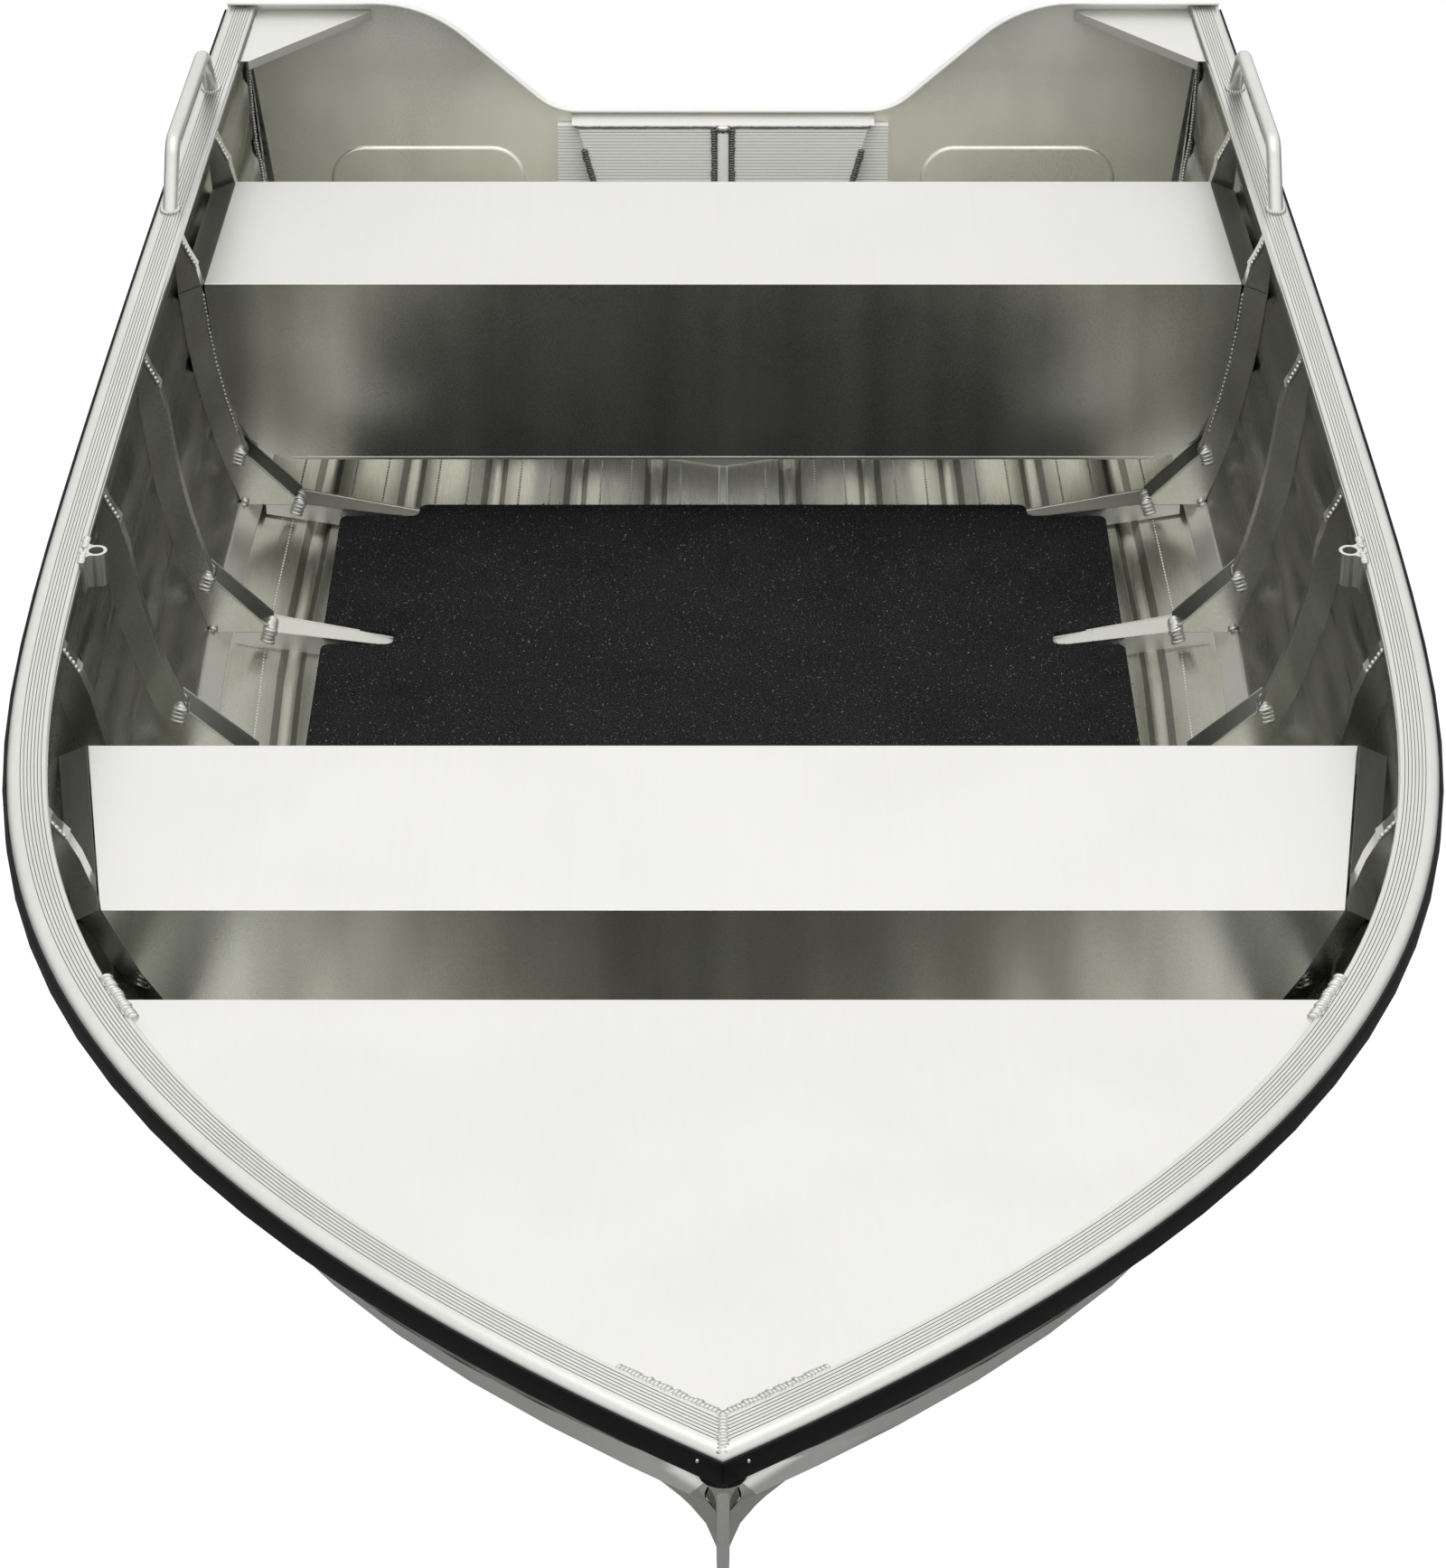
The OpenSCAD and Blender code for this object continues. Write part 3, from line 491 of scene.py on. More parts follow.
def streaks_and_reflections_group():
    """Long faint streaks, clouds and fine scratches of rolled sheet; on the seat fronts the streaks
    are broad upright bands, painted reflections
    """
    group = bpy.data.node_groups.new("Mill Streaks and Painted Reflections", "ShaderNodeTree")
    socket(group, "Vector", "NodeSocketVector")
    socket(group, "Stretch", "NodeSocketVector", default=(60, 1.2, 60))
    socket(group, "Colour", "NodeSocketColor")
    socket(group, "Roughness", "NodeSocketFloat", default=0.35)
    socket(group, "Contrast", "NodeSocketFloat", default=0.2)
    socket(group, "Clouds", "NodeSocketFloat", default=1.2)
    socket(group, "Colour", "NodeSocketColor", "OUTPUT")
    socket(group, "Roughness", "NodeSocketFloat", "OUTPUT")
    socket(group, "Height", "NodeSocketFloat", "OUTPUT")
    start = new_node(group, "NodeGroupInput")
    end = new_node(group, "NodeGroupOutput")
    vector = start.outputs["Vector"]
    streaks = scaled_noise(group, vector, start.outputs["Stretch"], 3)
    clouds = scaled_noise(group, vector, (1, 1, 1), 5, 2)
    scratches = scaled_noise(group, vector, (700, 9, 700), 2, 4)
    drift = math_node(group, "MULTIPLY", math_node(group, "SUBTRACT", clouds, 0.5),
                      start.outputs["Clouds"])
    swing = math_node(group, "ADD", math_node(group, "SUBTRACT", streaks, 0.5), drift)
    amount = math_node(group, "MULTIPLY", swing, start.outputs["Contrast"])
    factor = math_node(group, "ADD", 1.0, amount)
    colour = new_node(group, "ShaderNodeVectorMath", operation="SCALE")
    link(group, start.outputs["Colour"], colour.inputs[0])
    link(group, factor, colour.inputs["Scale"])
    link(group, colour.outputs[0], end.inputs["Colour"])
    rough = math_node(group, "MULTIPLY", math_node(group, "SUBTRACT", scratches, 0.5), 0.16)
    cloudy = math_node(group, "MULTIPLY", math_node(group, "SUBTRACT", clouds, 0.5), 0.12)
    total = math_node(group, "ADD", start.outputs["Roughness"],
                      math_node(group, "ADD", rough, cloudy))
    link(group, total, end.inputs["Roughness"])
    link(group, math_node(group, "ADD", scratches, math_node(group, "MULTIPLY", clouds, 3.0)),
         end.inputs["Height"])
    return group


def shared_group(name, build):
    return bpy.data.node_groups.get(name) or build()


def bare_material(name):
    material = bpy.data.materials.new(name)
    material.use_nodes = True
    tree = material.node_tree
    shader = tree.nodes["Principled BSDF"]
    coords = new_node(tree, "ShaderNodeTexCoord")
    return material, tree, shader, coords.outputs["Object"]


def metal(name, colour, roughness, contrast=0.2, bump=0.00006, stretch=None, metallic=1,
          clouds=1.2):
    """Rolled or extruded metal with mill streaks, along the boat unless stretch is given"""
    if name in bpy.data.materials:
        return bpy.data.materials[name]
    material, tree, shader, coords = bare_material(name)
    group = new_node(tree, "ShaderNodeGroup")
    group.node_tree = shared_group("Mill Streaks and Painted Reflections", streaks_and_reflections_group)
    link(tree, coords, group.inputs["Vector"])
    group.inputs["Colour"].default_value = (*colour, 1)
    group.inputs["Roughness"].default_value = roughness
    group.inputs["Contrast"].default_value = contrast
    group.inputs["Clouds"].default_value = clouds
    if stretch:
        group.inputs["Stretch"].default_value = stretch
    link(tree, group.outputs["Colour"], shader.inputs["Base Color"])
    link(tree, group.outputs["Roughness"], shader.inputs["Roughness"])
    shader.inputs["Metallic"].default_value = metallic
    if not bump:
        return material
    height = new_node(tree, "ShaderNodeBump")
    height.inputs["Distance"].default_value = bump
    height.inputs["Strength"].default_value = 0.5
    link(tree, group.outputs["Height"], height.inputs["Height"])
    link(tree, height.outputs[0], shader.inputs["Normal"])
    return material


def sheet_metal():
    f = finish()
    return metal("Rolled sheet", f.sheet_colour, f.sheet_roughness, 0.15, 0.00003)


def shade_metal():
    f = finish()
    return metal("Flute flank", f.shade_colour, f.sheet_roughness, 0.15, 0.00003)


# Rolled sheet of the sides, darkened as painted shade, with broad clouds
def shaded_side_metal():
    f = finish()
    return metal("Side sheet in painted shade", f.side_shade_colour, f.sheet_roughness, 0.25, 0.00003, clouds=3)


def rib_metal():
    f = finish()
    return metal("Rib", f.rib_colour, f.sheet_roughness, 0.25)


def transom_metal():
    f = finish()
    return metal("Transom sheet", f.transom_colour, f.sheet_roughness, 0.35, 0.00003,
                 (3, 3, 1), 0.8)


def bright_metal():
    f = finish()
    return metal("Bright sheet", f.bright_colour, f.bright_roughness, 0.03, 0)


def plank_metal():
    return metal("Plank", finish().plank_colour, 0.4, 0.05, 0, metallic=0)


def rail_metal():
    return metal("Extruded rail", finish().rail_colour, 0.36, 0.1, 0.00003)


# Painted shade in the fine grooves of the gunwales
def groove_shade_metal():
    return metal("Groove", finish().groove_shade_colour, 0.5, 0.1, 0, metallic=0.5)


# Painted shade in the planks' grooves
def plank_groove_shade_metal():
    return metal("Plank groove", finish().plank_groove_shade, 0.5, 0.1, 0, metallic=0)


def seat_metal():
    f = finish()
    return metal("Seat sheet", f.bright_colour, f.bright_roughness, 0.03, 0)


# Upright bands across the seat fronts are painted reflections, over fine scratches
def front_reflection_metal():
    f = finish()
    return metal("Seat front with painted reflections", f.front_reflection_colour, f.seat_roughness, 0.9, 0.00002, (4.5, 0.5, 0.15),
                 clouds=0.1)


def weld_metal():
    return metal("Weld", finish().weld_colour, 0.3, 0.3, 0.0003)


# Painted shade on the knees, the darker seat-end flanges and dark welds
def dark_and_shade_metal():
    return metal("Dark metal and painted shade", finish().dark_and_shade_colour, 0.45, 0.3)


def rubber():
    """Matt black rubber with a faint grain"""
    if "Rubber" in bpy.data.materials:
        return bpy.data.materials["Rubber"]
    material, tree, shader, coords = bare_material("Rubber")
    grain = scaled_noise(tree, coords, (1, 1, 1), 900, 2)
    ramp = new_node(tree, "ShaderNodeValToRGB")
    dark = finish().rubber_colour
    ramp.color_ramp.elements[0].color = (*dark, 1)
    ramp.color_ramp.elements[1].color = (*[c * 1.8 for c in dark], 1)
    link(tree, grain, ramp.inputs["Fac"])
    link(tree, ramp.outputs["Color"], shader.inputs["Base Color"])
    shader.inputs["Roughness"].default_value = 0.55
    shader.inputs["Specular IOR Level"].default_value = 0.12
    bump = new_node(tree, "ShaderNodeBump")
    bump.inputs["Distance"].default_value = 0.0002
    link(tree, grain, bump.inputs["Height"])
    link(tree, bump.outputs[0], shader.inputs["Normal"])
    return material


def carpet():
    """Short black pile with grey flecks"""
    if "Carpet" in bpy.data.materials:
        return bpy.data.materials["Carpet"]
    material, tree, shader, coords = bare_material("Carpet")
    fine = scaled_noise(tree, coords, (1, 1, 1), 420, 3)
    broad = scaled_noise(tree, coords, (1, 1, 1), 9, 2)
    both = math_node(tree, "ADD", fine, math_node(tree, "MULTIPLY", broad, 0.12))
    ramp = new_node(tree, "ShaderNodeValToRGB")
    f = finish()
    ramp.color_ramp.elements[0].position = 0.47
    ramp.color_ramp.elements[0].color = (*f.carpet_colour, 1)
    ramp.color_ramp.elements[1].position = 0.8
    ramp.color_ramp.elements[1].color = (*[c * 0.14 for c in f.fleck_colour], 1)
    link(tree, both, ramp.inputs["Fac"])
    link(tree, ramp.outputs["Color"], shader.inputs["Base Color"])
    shader.inputs["Roughness"].default_value = 0.95
    shader.inputs["Specular IOR Level"].default_value = 0.15
    bump = new_node(tree, "ShaderNodeBump")
    bump.inputs["Distance"].default_value = 0.002
    link(tree, fine, bump.inputs["Height"])
    link(tree, bump.outputs[0], shader.inputs["Normal"])
    return material


def fibre():
    """Light fibres of the carpet, each of its own shade by where it stands"""
    if "Fibre" in bpy.data.materials:
        return bpy.data.materials["Fibre"]
    material, tree, shader, coords = bare_material("Fibre")
    shade = scaled_noise(tree, coords, (1, 1, 1), 240, 1)
    ramp = new_node(tree, "ShaderNodeValToRGB")
    f = finish()
    ramp.color_ramp.elements[0].position = 0.5
    ramp.color_ramp.elements[0].color = (*[c * 1.6 for c in f.carpet_colour], 1)
    ramp.color_ramp.elements[1].position = 0.72
    ramp.color_ramp.elements[1].color = (*f.fleck_colour, 1)
    link(tree, shade, ramp.inputs["Fac"])
    link(tree, ramp.outputs["Color"], shader.inputs["Base Color"])
    shader.inputs["Roughness"].default_value = 0.6
    return material


# Operators


class BOAT_OT_stage(bpy.types.Operator):
    """Pale floor at the waterline, soft light and the camera"""

    bl_idname = "boat.stage"
    bl_label = "Stage"

    def execute(self, context):
        settings = context.scene.boat_stage
        self.camera(context, settings)
        self.floor()
        self.light(context, settings)
        return {"FINISHED"}

    def camera(self, context, settings):
        data = bpy.data.cameras.new("Camera")
        data.lens = settings.lens
        data.sensor_width = 36
        data.clip_end = 200
        eye = new_object("Camera", data)
        eye.location = (0, -settings.camera_back, settings.camera_up)
        eye.rotation_euler = (math.pi / 2 - settings.pitch, 0, 0)
        context.scene.camera = eye

    def waterline(self):
        """The hull's outline at the floor, with room for its flutes"""
        lines = Lines()
        outset = 0.06
        points = []
        steps = 60
        for i in range(steps + 1):
            s = mix(0.3, lines.h.length - 0.099, (i / steps) ** 1.2)
            keel, chine = lines.keel_z(s), lines.chine_z(s)
            if keel > -0.002:
                continue
            r = clip(-keel / (chine - keel), 0, 1) ** (1 / lines.hollow(s))
            points.append(Vector((lines.bottom(s, r).x + outset, lines.aft(s), 0)))
        return points

    def floor(self):
        side = self.waterline()
        outline = side + [Vector((-p.x, p.y, 0)) for p in reversed(side)]
        bm = bmesh.new()
        verts = [bm.verts.new(p) for p in outline]
        edges = [bm.edges.new((verts[k - 1], verts[k])) for k in range(len(verts))]
        for reach in (0.4, 3, 40):
            made = bmesh.ops.extrude_edge_only(bm, edges=edges)["geom"]
            edges = [g for g in made if isinstance(g, bmesh.types.BMEdge)
                     and len(g.link_faces) == 1]
            for vert in {v for e in edges for v in e.verts}:
                flat = Vector((vert.co.x, vert.co.y * 0.6, 0))
                vert.co += flat.normalized() * reach
        bmesh.ops.recalc_face_normals(bm, faces=bm.faces)
        if bm.faces[:][0].normal.z < 0:
            bmesh.ops.reverse_faces(bm, faces=bm.faces)
        floor = new_object("Floor", mesh_from(bm, "Floor"))
        material = bpy.data.materials.new("Pale floor")
        material.use_nodes = True
        tree = material.node_tree
        shader = tree.nodes["Principled BSDF"]
        shader.inputs["Base Color"].default_value = (0.22, 0.22, 0.22, 1)
        shader.inputs["Roughness"].default_value = 0.9
        shader.inputs["Specular IOR Level"].default_value = 0
        shader.inputs["Emission Color"].default_value = (1, 1, 1, 1)
        path = new_node(tree, "ShaderNodeLightPath")
        glow = math_node(tree, "MULTIPLY_ADD", path.outputs["Is Camera Ray"], 0.82)
        glow.node.inputs[2].default_value = 0.13
        link(tree, glow, shader.inputs["Emission Strength"])
        floor.data.materials.append(material)

    def light(self, context, settings):
        context.scene.view_settings.view_transform = "Standard"
        world = bpy.data.worlds.new("Studio")
        context.scene.world = world
        world.use_nodes = True
        tree = world.node_tree
        back = tree.nodes["Background"]
        coords = new_node(tree, "ShaderNodeTexCoord")
        split = new_node(tree, "ShaderNodeSeparateXYZ")
        link(tree, coords.outputs["Generated"], split.inputs[0])
        sky = new_node(tree, "ShaderNodeValToRGB")
        sky.color_ramp.interpolation = "EASE"
        low, high = sky.color_ramp.elements
        low.position, low.color = 0.05, (*[settings.horizon] * 3, 1)
        high.position, high.color = 0.42, (settings.sky, settings.sky, settings.sky, 1)
        link(tree, split.outputs["Z"], sky.inputs["Fac"])
        behind = new_node(tree, "ShaderNodeMapRange", interpolation_type="SMOOTHSTEP")
        behind.inputs["From Min"].default_value = 0.5
        behind.inputs["From Max"].default_value = 0.9
        behind.inputs["To Max"].default_value = settings.backlight
        link(tree, split.outputs["Y"], behind.inputs["Value"])
        lit = new_node(tree, "ShaderNodeMix", data_type="RGBA", blend_type="LIGHTEN")
        lit.inputs[0].default_value = 1
        link(tree, sky.outputs["Color"], lit.inputs[6])
        link(tree, behind.outputs["Result"], lit.inputs[7])
        path = new_node(tree, "ShaderNodeLightPath")
        seen = new_node(tree, "ShaderNodeMix", data_type="RGBA")
        seen.inputs[7].default_value = (1, 1, 1, 1)
        link(tree, path.outputs["Is Camera Ray"], seen.inputs[0])
        link(tree, lit.outputs[2], seen.inputs[6])
        link(tree, seen.outputs[2], back.inputs["Color"])
        data = bpy.data.lights.new("Overhead", "AREA")
        data.shape = "RECTANGLE"
        data.size = 4.5
        data.size_y = 3.5
        data.energy = settings.lamp
        lamp = new_object("Overhead", data)
        lamp.location = (0, 0.4, 4.5)


class BOAT_OT_sheets(bpy.types.Operator):
    """Side and bottom sheets with their pressed strakes and flutes"""

    bl_idname = "boat.sheets"
    bl_label = "Hull sheets"

    def execute(self, context):
        for side, _ in SIDES:
            dress(f"side_{side}", f"side_sheet_{side}", shaded_side_metal(), 0, curved=True)
            dress(f"bottom_{side}", f"bottom_sheet_{side}", sheet_metal(), 0, curved=True,
                  second=shade_metal(), where=flute_flank)
        return {"FINISHED"}


def flute_flank(face):
    """Whether a bottom sheet's face is the inner flank of a flute, aft of the bow"""
    normal, middle = face.normal, face.calc_center_median()
    if normal.z < 0.2 or middle.y < -0.6:
        return False
    deadrise = math.copysign(0.2, -middle.x)
    return abs(normal.x / normal.z - deadrise) > 0.4


class BOAT_OT_gunwales(bpy.types.Operator):
    """Grooved gunwale profiles, mitred at the bow"""

    bl_idname = "boat.gunwales"
    bl_label = "Gunwales"

    def profile(self):
        """The profile's points and the numbers of the edges in its grooves"""
        h, d = hull(), detail()
        leg = h.sheet_inset - 0.0003
        wide, wall = h.gunwale_w, h.gunwale_wall
        turns = [k * math.pi / 12 for k in range(7)]
        points = [(leg, -h.gunwale_h), (0, -h.gunwale_h)]
        points += [(0.012 * (1 - math.cos(a)), 0.009 * (math.sin(a) - 1)) for a in turns]
        first, last = 0.0135, wide - 0.004
        pitch = (last - first) / d.grooves
        grooved = []
        for k in range(d.grooves):
            at = first + pitch * (k + 0.5)
            half = d.groove_w / 2
            grooved += range(len(points), len(points) + 3)
            points += [(at - half, 0), (at - half * 0.6, -d.groove_depth),
                       (at + half * 0.6, -d.groove_depth), (at + half, 0)]
        points += [(wide - 0.0012, 0), (wide, -0.0012), (wide, -0.0045), (wide - 0.0016, -0.0055),
                   (wide - 0.0016, -0.0075), (wide, -0.0085), (wide, -0.014),
                   (wide - 0.004, -0.014), (wide - 0.004, -wall), (leg, -wall)]
        return points, grooved

    def execute(self, context):
        lines = Lines()
        profile, grooved = self.profile()
        starts = [lines.rim_start(u) for u, _ in profile]
        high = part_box("gunwale_port")[1].y
        end = high + lines.half
        steps = 90
        rings = []
        for i in range(steps + 1):
            share = (i / steps) ** 1.6
            ring = []
            for (u, v), start in zip(profile, starts):
                tail = end + (v + lines.h.gunwale_h) * 0.2126 - 0.0064
                ring.append(lines.rim(mix(start, tail, share), u, v))
            rings.append(ring)
        for side, sign in SIDES:
            bm = sweep(rings, marks=grooved)
            if sign < 0:
                mirrored(bm)
            # The grooves' faces take the painted shade
            piece(bm, f"gunwale_rail_{side}", rail_metal(), [f"gunwale_{side}"], smooth=35,
                  second=groove_shade_metal())
        return {"FINISHED"}


class BOAT_OT_rubber(bpy.types.Operator):
    """Rubber bands outside the gunwales"""

    bl_idname = "boat.rubber"
    bl_label = "Rubber bands"

    def execute(self, context):
        for side, _ in SIDES:
            dress(f"rubber_{side}", f"rubber_band_{side}", rubber(), 0, curved=True)
        return {"FINISHED"}


class BOAT_OT_bars(bpy.types.Operator):
    """Chine profiles, keel and stem bars, and the transom's cap"""

    bl_idname = "boat.bars"
    bl_label = "Bars"

    def execute(self, context):
        for side, _ in SIDES:
            dress(f"chine_{side}", f"chine_strip_{side}", rail_metal(), 0, curved=True)
        dress("keel_bar", "keel", rail_metal(), 0.002)
        dress("stem_bar", "stem", rail_metal(), 0.004, angle=70, segments=3)
        dress("transom_cap", "cap_strip", plank_metal(), 0.0018, segments=3)
        return {"FINISHED"}


class BOAT_OT_transom(bpy.types.Operator):
    """Transom with its planks, post, pad and corner plates"""

    bl_idname = "boat.transom"
    bl_label = "Transom"

    def execute(self, context):
        self.sheet()
        self.planks()
        self.apron()
        dress("centre_post", "post", plank_metal(), 0.003, segments=3)
        dress("motor_pad", "outer_pad", rail_metal())
        for side, _ in SIDES:
            dress(f"corner_{side}", f"corner_plate_{side}", bright_metal(), 0.0008)
        return {"FINISHED"}

    def planks(self):
        """Finely grooved planks, with painted shade in their grooves: a wide one, and a pair with
        slanted ends beside the post
        """
        lines, d = Lines(), detail()
        top = -lines.h.dip_depth - 0.016
        wide = self.plank(lines, d, top, 0.230, (-0.243, 0.243), (-0.243, 0.243), 0.0033, 0.020)
        piece(wide, "wide_plank", plank_metal(), ["inner_plank"],
              second=plank_groove_shade_metal())
        pair = self.plank(lines, d, top, 0.215, (0.0088, 0.213), (0.0088, 0.150), 0.0236, 0.016)
        other = self.plank(lines, d, top, 0.215, (0.0088, 0.213), (0.0088, 0.150), 0.0236, 0.016)
        join(pair, mirrored(other))
        piece(pair, "clamp_planks", plank_metal(), ["front_planks"],
              second=plank_groove_shade_metal())

    def sheet(self):
        """The transom's sheet with a raised round-cornered panel on each side"""
        lines, d = Lines(), detail()
        half = lines.transom_half()
        outline = half + [(-x, up) for x, up in reversed(half)]
        bm = sweep([[lines.transom(x, up, depth) for x, up in outline] for depth in (0, 0.003)])
        for sign in (1, -1):
            rings = []
            for inset, depth in ((0, 0.0028), (0.0008, 0.0052), (0.0026, 0.0066), (0.0055, 0.007)):
                ring = []
                for k, (across, up) in enumerate(((1, -1), (1, 1), (-1, 1), (-1, -1))):
                    corner = (across * (d.panel_w / 2 - d.panel_r), up * (d.panel_h / 2 - d.panel_r))
                    start = (k - 1) * math.pi / 2
                    ring += lines.arc(*corner, d.panel_r - inset, start, start + math.pi / 2, 8)
                middle = -d.panel_drop - d.panel_h / 2
                rings.append([lines.transom(sign * d.panel_x + x, middle + up, depth)
                              for x, up in ring])
            join(bm, sweep(rings))
        piece(bm, "transom_sheet", transom_metal(), ["transom"], smooth=60, weighted=True)

    def apron(self):
        """A sloped bright strip between the cap and the planks"""
        lines = Lines()
        top = -lines.h.dip_depth - 0.016
        profile = [(top + 0.0165, 0.004), (top + 0.0165, 0.012), (top + 0.0012, 0.0385),
                   (top + 0.0004, 0.0385), (top + 0.0004, 0.004)]
        rings = [[lines.transom(x, up, depth) for up, depth in profile] for x in (-0.222, 0.222)]
        bm = sweep(rings)
        round_edges(bm, 0.0006, 20, 1)
        piece(bm, "cap_apron", bright_metal(), weighted=True)

    def plank(self, lines, d, top, height, high, low, back, thick):
        """A plank between two ends, given at its top and at its foot"""
        front = back + thick
        profile = [(top, back), (top, front - 0.001), (top - 0.001, front)]
        grooved = []
        at = top - d.plank_pitch
        while at > top - height + d.plank_pitch / 2:
            grooved += range(len(profile), len(profile) + 3)
            profile += [(at + 0.0005, front), (at + 0.0003, front - 0.0005),
                        (at - 0.0003, front - 0.0005), (at - 0.0005, front)]
            at -= d.plank_pitch
        profile += [(top - height, front), (top - height, back)]
        rings = []
        for end in (0, 1):
            rings.append([lines.transom(mix(high[end], low[end], (top - up) / height), up, depth)
                          for up, depth in profile])
        return sweep(rings, marks=grooved)


class BOAT_OT_ribs(bpy.types.Operator):
    """Side ribs with their knees, and the ribs across the floor"""

    bl_idname = "boat.ribs"
    bl_label = "Ribs"

    def execute(self, context):
        for side, _ in SIDES:
            for number in range(1, 7):
                # The knees' broad tops take the painted shade
                dress(f"rib_{number}_{side}", f"side_rib_{number}_{side}", rib_metal(),
                      0.0008, second=dark_and_shade_metal(), where=knee_top)
        dress("floor_ribs", "cross_ribs", bright_metal(), 0.0008)
        return {"FINISHED"}


def knee_top(face):
    """Whether a rib's face is the broad top of its knee, which takes a painted shade"""
    return face.normal.z > 0.45 and abs(face.normal.x) > 0.45 and face.calc_area() > 0.0004


# A seat's upright front faces, which take the painted reflection bands
def seat_front_reflection_faces(face):
    return abs(face.normal.y) > 0.7 and face.calc_area() > 0.01


class BOAT_OT_seats(bpy.types.Operator):
    """Folded seats with painted reflection bands on their fronts, and their darker end flanges"""

    bl_idname = "boat.seats"
    bl_label = "Seats"

    def execute(self, context):
        for seat in ("rear", "front"):
            dress(f"{seat}_seat", f"{seat}_seat_box", seat_metal(), 0.003,
                  segments=3, second=front_reflection_metal(), where=seat_front_reflection_faces)
            dress(f"{seat}_seat_ends", f"{seat}_seat_flanges", dark_and_shade_metal(), 0.0006)
        return {"FINISHED"}


class BOAT_OT_deck(bpy.types.Operator):
    """Bow deck with its folded lip"""

    bl_idname = "boat.deck"
    bl_label = "Bow deck"

    def execute(self, context):
        dress("bow_deck", "deck", bright_metal(), 0.0006)
        return {"FINISHED"}


class BOAT_OT_floor_board(bpy.types.Operator):
    """Carpeted floor board with its pile and light fibres"""

    bl_idname = "boat.floor_board"
    bl_label = "Floor board"

    def execute(self, context):
        bm = node_bmesh("floor_board")
        upright = [e for e in folded_edges(bm, 40)
                   if abs(e.verts[0].co.z - e.verts[1].co.z) > 0.003]
        bmesh.ops.bevel(
            bm, geom=upright, offset=0.011, offset_type="OFFSET", segments=4, profile=0.5,
            affect="EDGES", clamp_overlap=True, material=-1)
        round_edges(bm, 0.002, 70, 3)
        piece(bm, "carpeted_board", carpet(), ["floor_board"], weighted=True)
        self.fibres()
        return {"FINISHED"}

    def fibres(self):
        """Loose light fibres, each a short leaning blade"""
        draw = random.Random(5)
        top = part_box("floor_board")[1].z
        bm = node_bmesh("floor_board")
        face = max((f for f in bm.faces if f.normal.z > 0.9), key=lambda f: f.calc_area())
        outline = [v.co.copy() for v in face.verts]
        bm.free()
        low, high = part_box("floor_board")
        bm = bmesh.new()
        count = detail().fibres
        while len(bm.verts) < count:
            spot = Vector((draw.uniform(low.x, high.x), draw.uniform(low.y, high.y), top - 0.0006))
            if inside(spot, outline):
                bm.verts.new(spot)
        lean = bmesh.ops.extrude_vert_indiv(bm, verts=bm.verts[:])
        for vert in lean["verts"]:
            turn = draw.uniform(0, math.tau)
            reach = draw.uniform(0.002, 0.006)
            vert.co += Vector((math.cos(turn) * reach, math.sin(turn) * reach,
                               draw.uniform(0.0006, detail().pile)))
        made = bmesh.ops.extrude_edge_only(bm, edges=lean["edges"])["geom"]
        for vert in (g for g in made if isinstance(g, bmesh.types.BMVert)):
            vert.co += Vector((draw.uniform(-1, 1), draw.uniform(-1, 1), 0)).normalized() * 0.0011
        piece(bm, "carpet_fibres", fibre())


def inside(spot, outline):
    """Whether a point lies in a flat outline, seen from above"""
    found = False
    for a, b in zip(outline, outline[1:] + outline[:1]):
        if (a.y > spot.y) != (b.y > spot.y):
            if spot.x < a.x + (b.x - a.x) * (spot.y - a.y) / (b.y - a.y):
                found = not found
    return found


class BOAT_OT_fittings(bpy.types.Operator):
    """Rowlock sockets, grab handles, towing eye and drain"""

    bl_idname = "boat.fittings"
    bl_label = "Fittings"

    def execute(self, context):
        for side, _ in SIDES:
            dress(f"rowlock_{side}", f"rowlock_socket_{side}", rail_metal(), 0.0008, 60)
            dress(f"handle_{side}", f"grab_handle_{side}", rail_metal(), 0)
        dress("bow_eye", "towing_eye", rail_metal(), 0.0015, 60)
        dress("drain_bush", "drain", rail_metal(), 0.0008, 60)
        return {"FINISHED"}


class BOAT_OT_stitches(bpy.types.Operator):
    """Dotted lines on the bottom, beside the flutes"""

    bl_idname = "boat.stitches"
    bl_label = "Dotted lines"

    def execute(self, context):
        lines, d = Lines(), detail()
        reference = lines.h.beam / 2 * lines.h.chine_share - 0.020
        for side, sign in SIDES:
            bm = bmesh.new()
            for flute in range(5):
                for off in (-d.stitch_offset, d.stitch_offset):
                    at = (0.095 + flute * 0.119 + off) / reference
                    self.row(bm, lines, d, at * (1 - 0.031), sign)
            piece(bm, f"dots_{side}", bright_metal())
        return {"FINISHED"}

    def row(self, bm, lines, d, share, sign):
        s = 0.95
        dots = bmesh.new()
        while s < lines.h.length - 0.13:
            at = lines.bottom(s, share, 0.0032)
            at.x *= sign
            size = Matrix.LocRotScale(at, None, Vector((0.8, 1.2, 0.5)))
            bmesh.ops.create_icosphere(dots, subdivisions=1, radius=d.stitch_d / 2, matrix=size)
            s += d.stitch_pitch
        join(bm, dots)


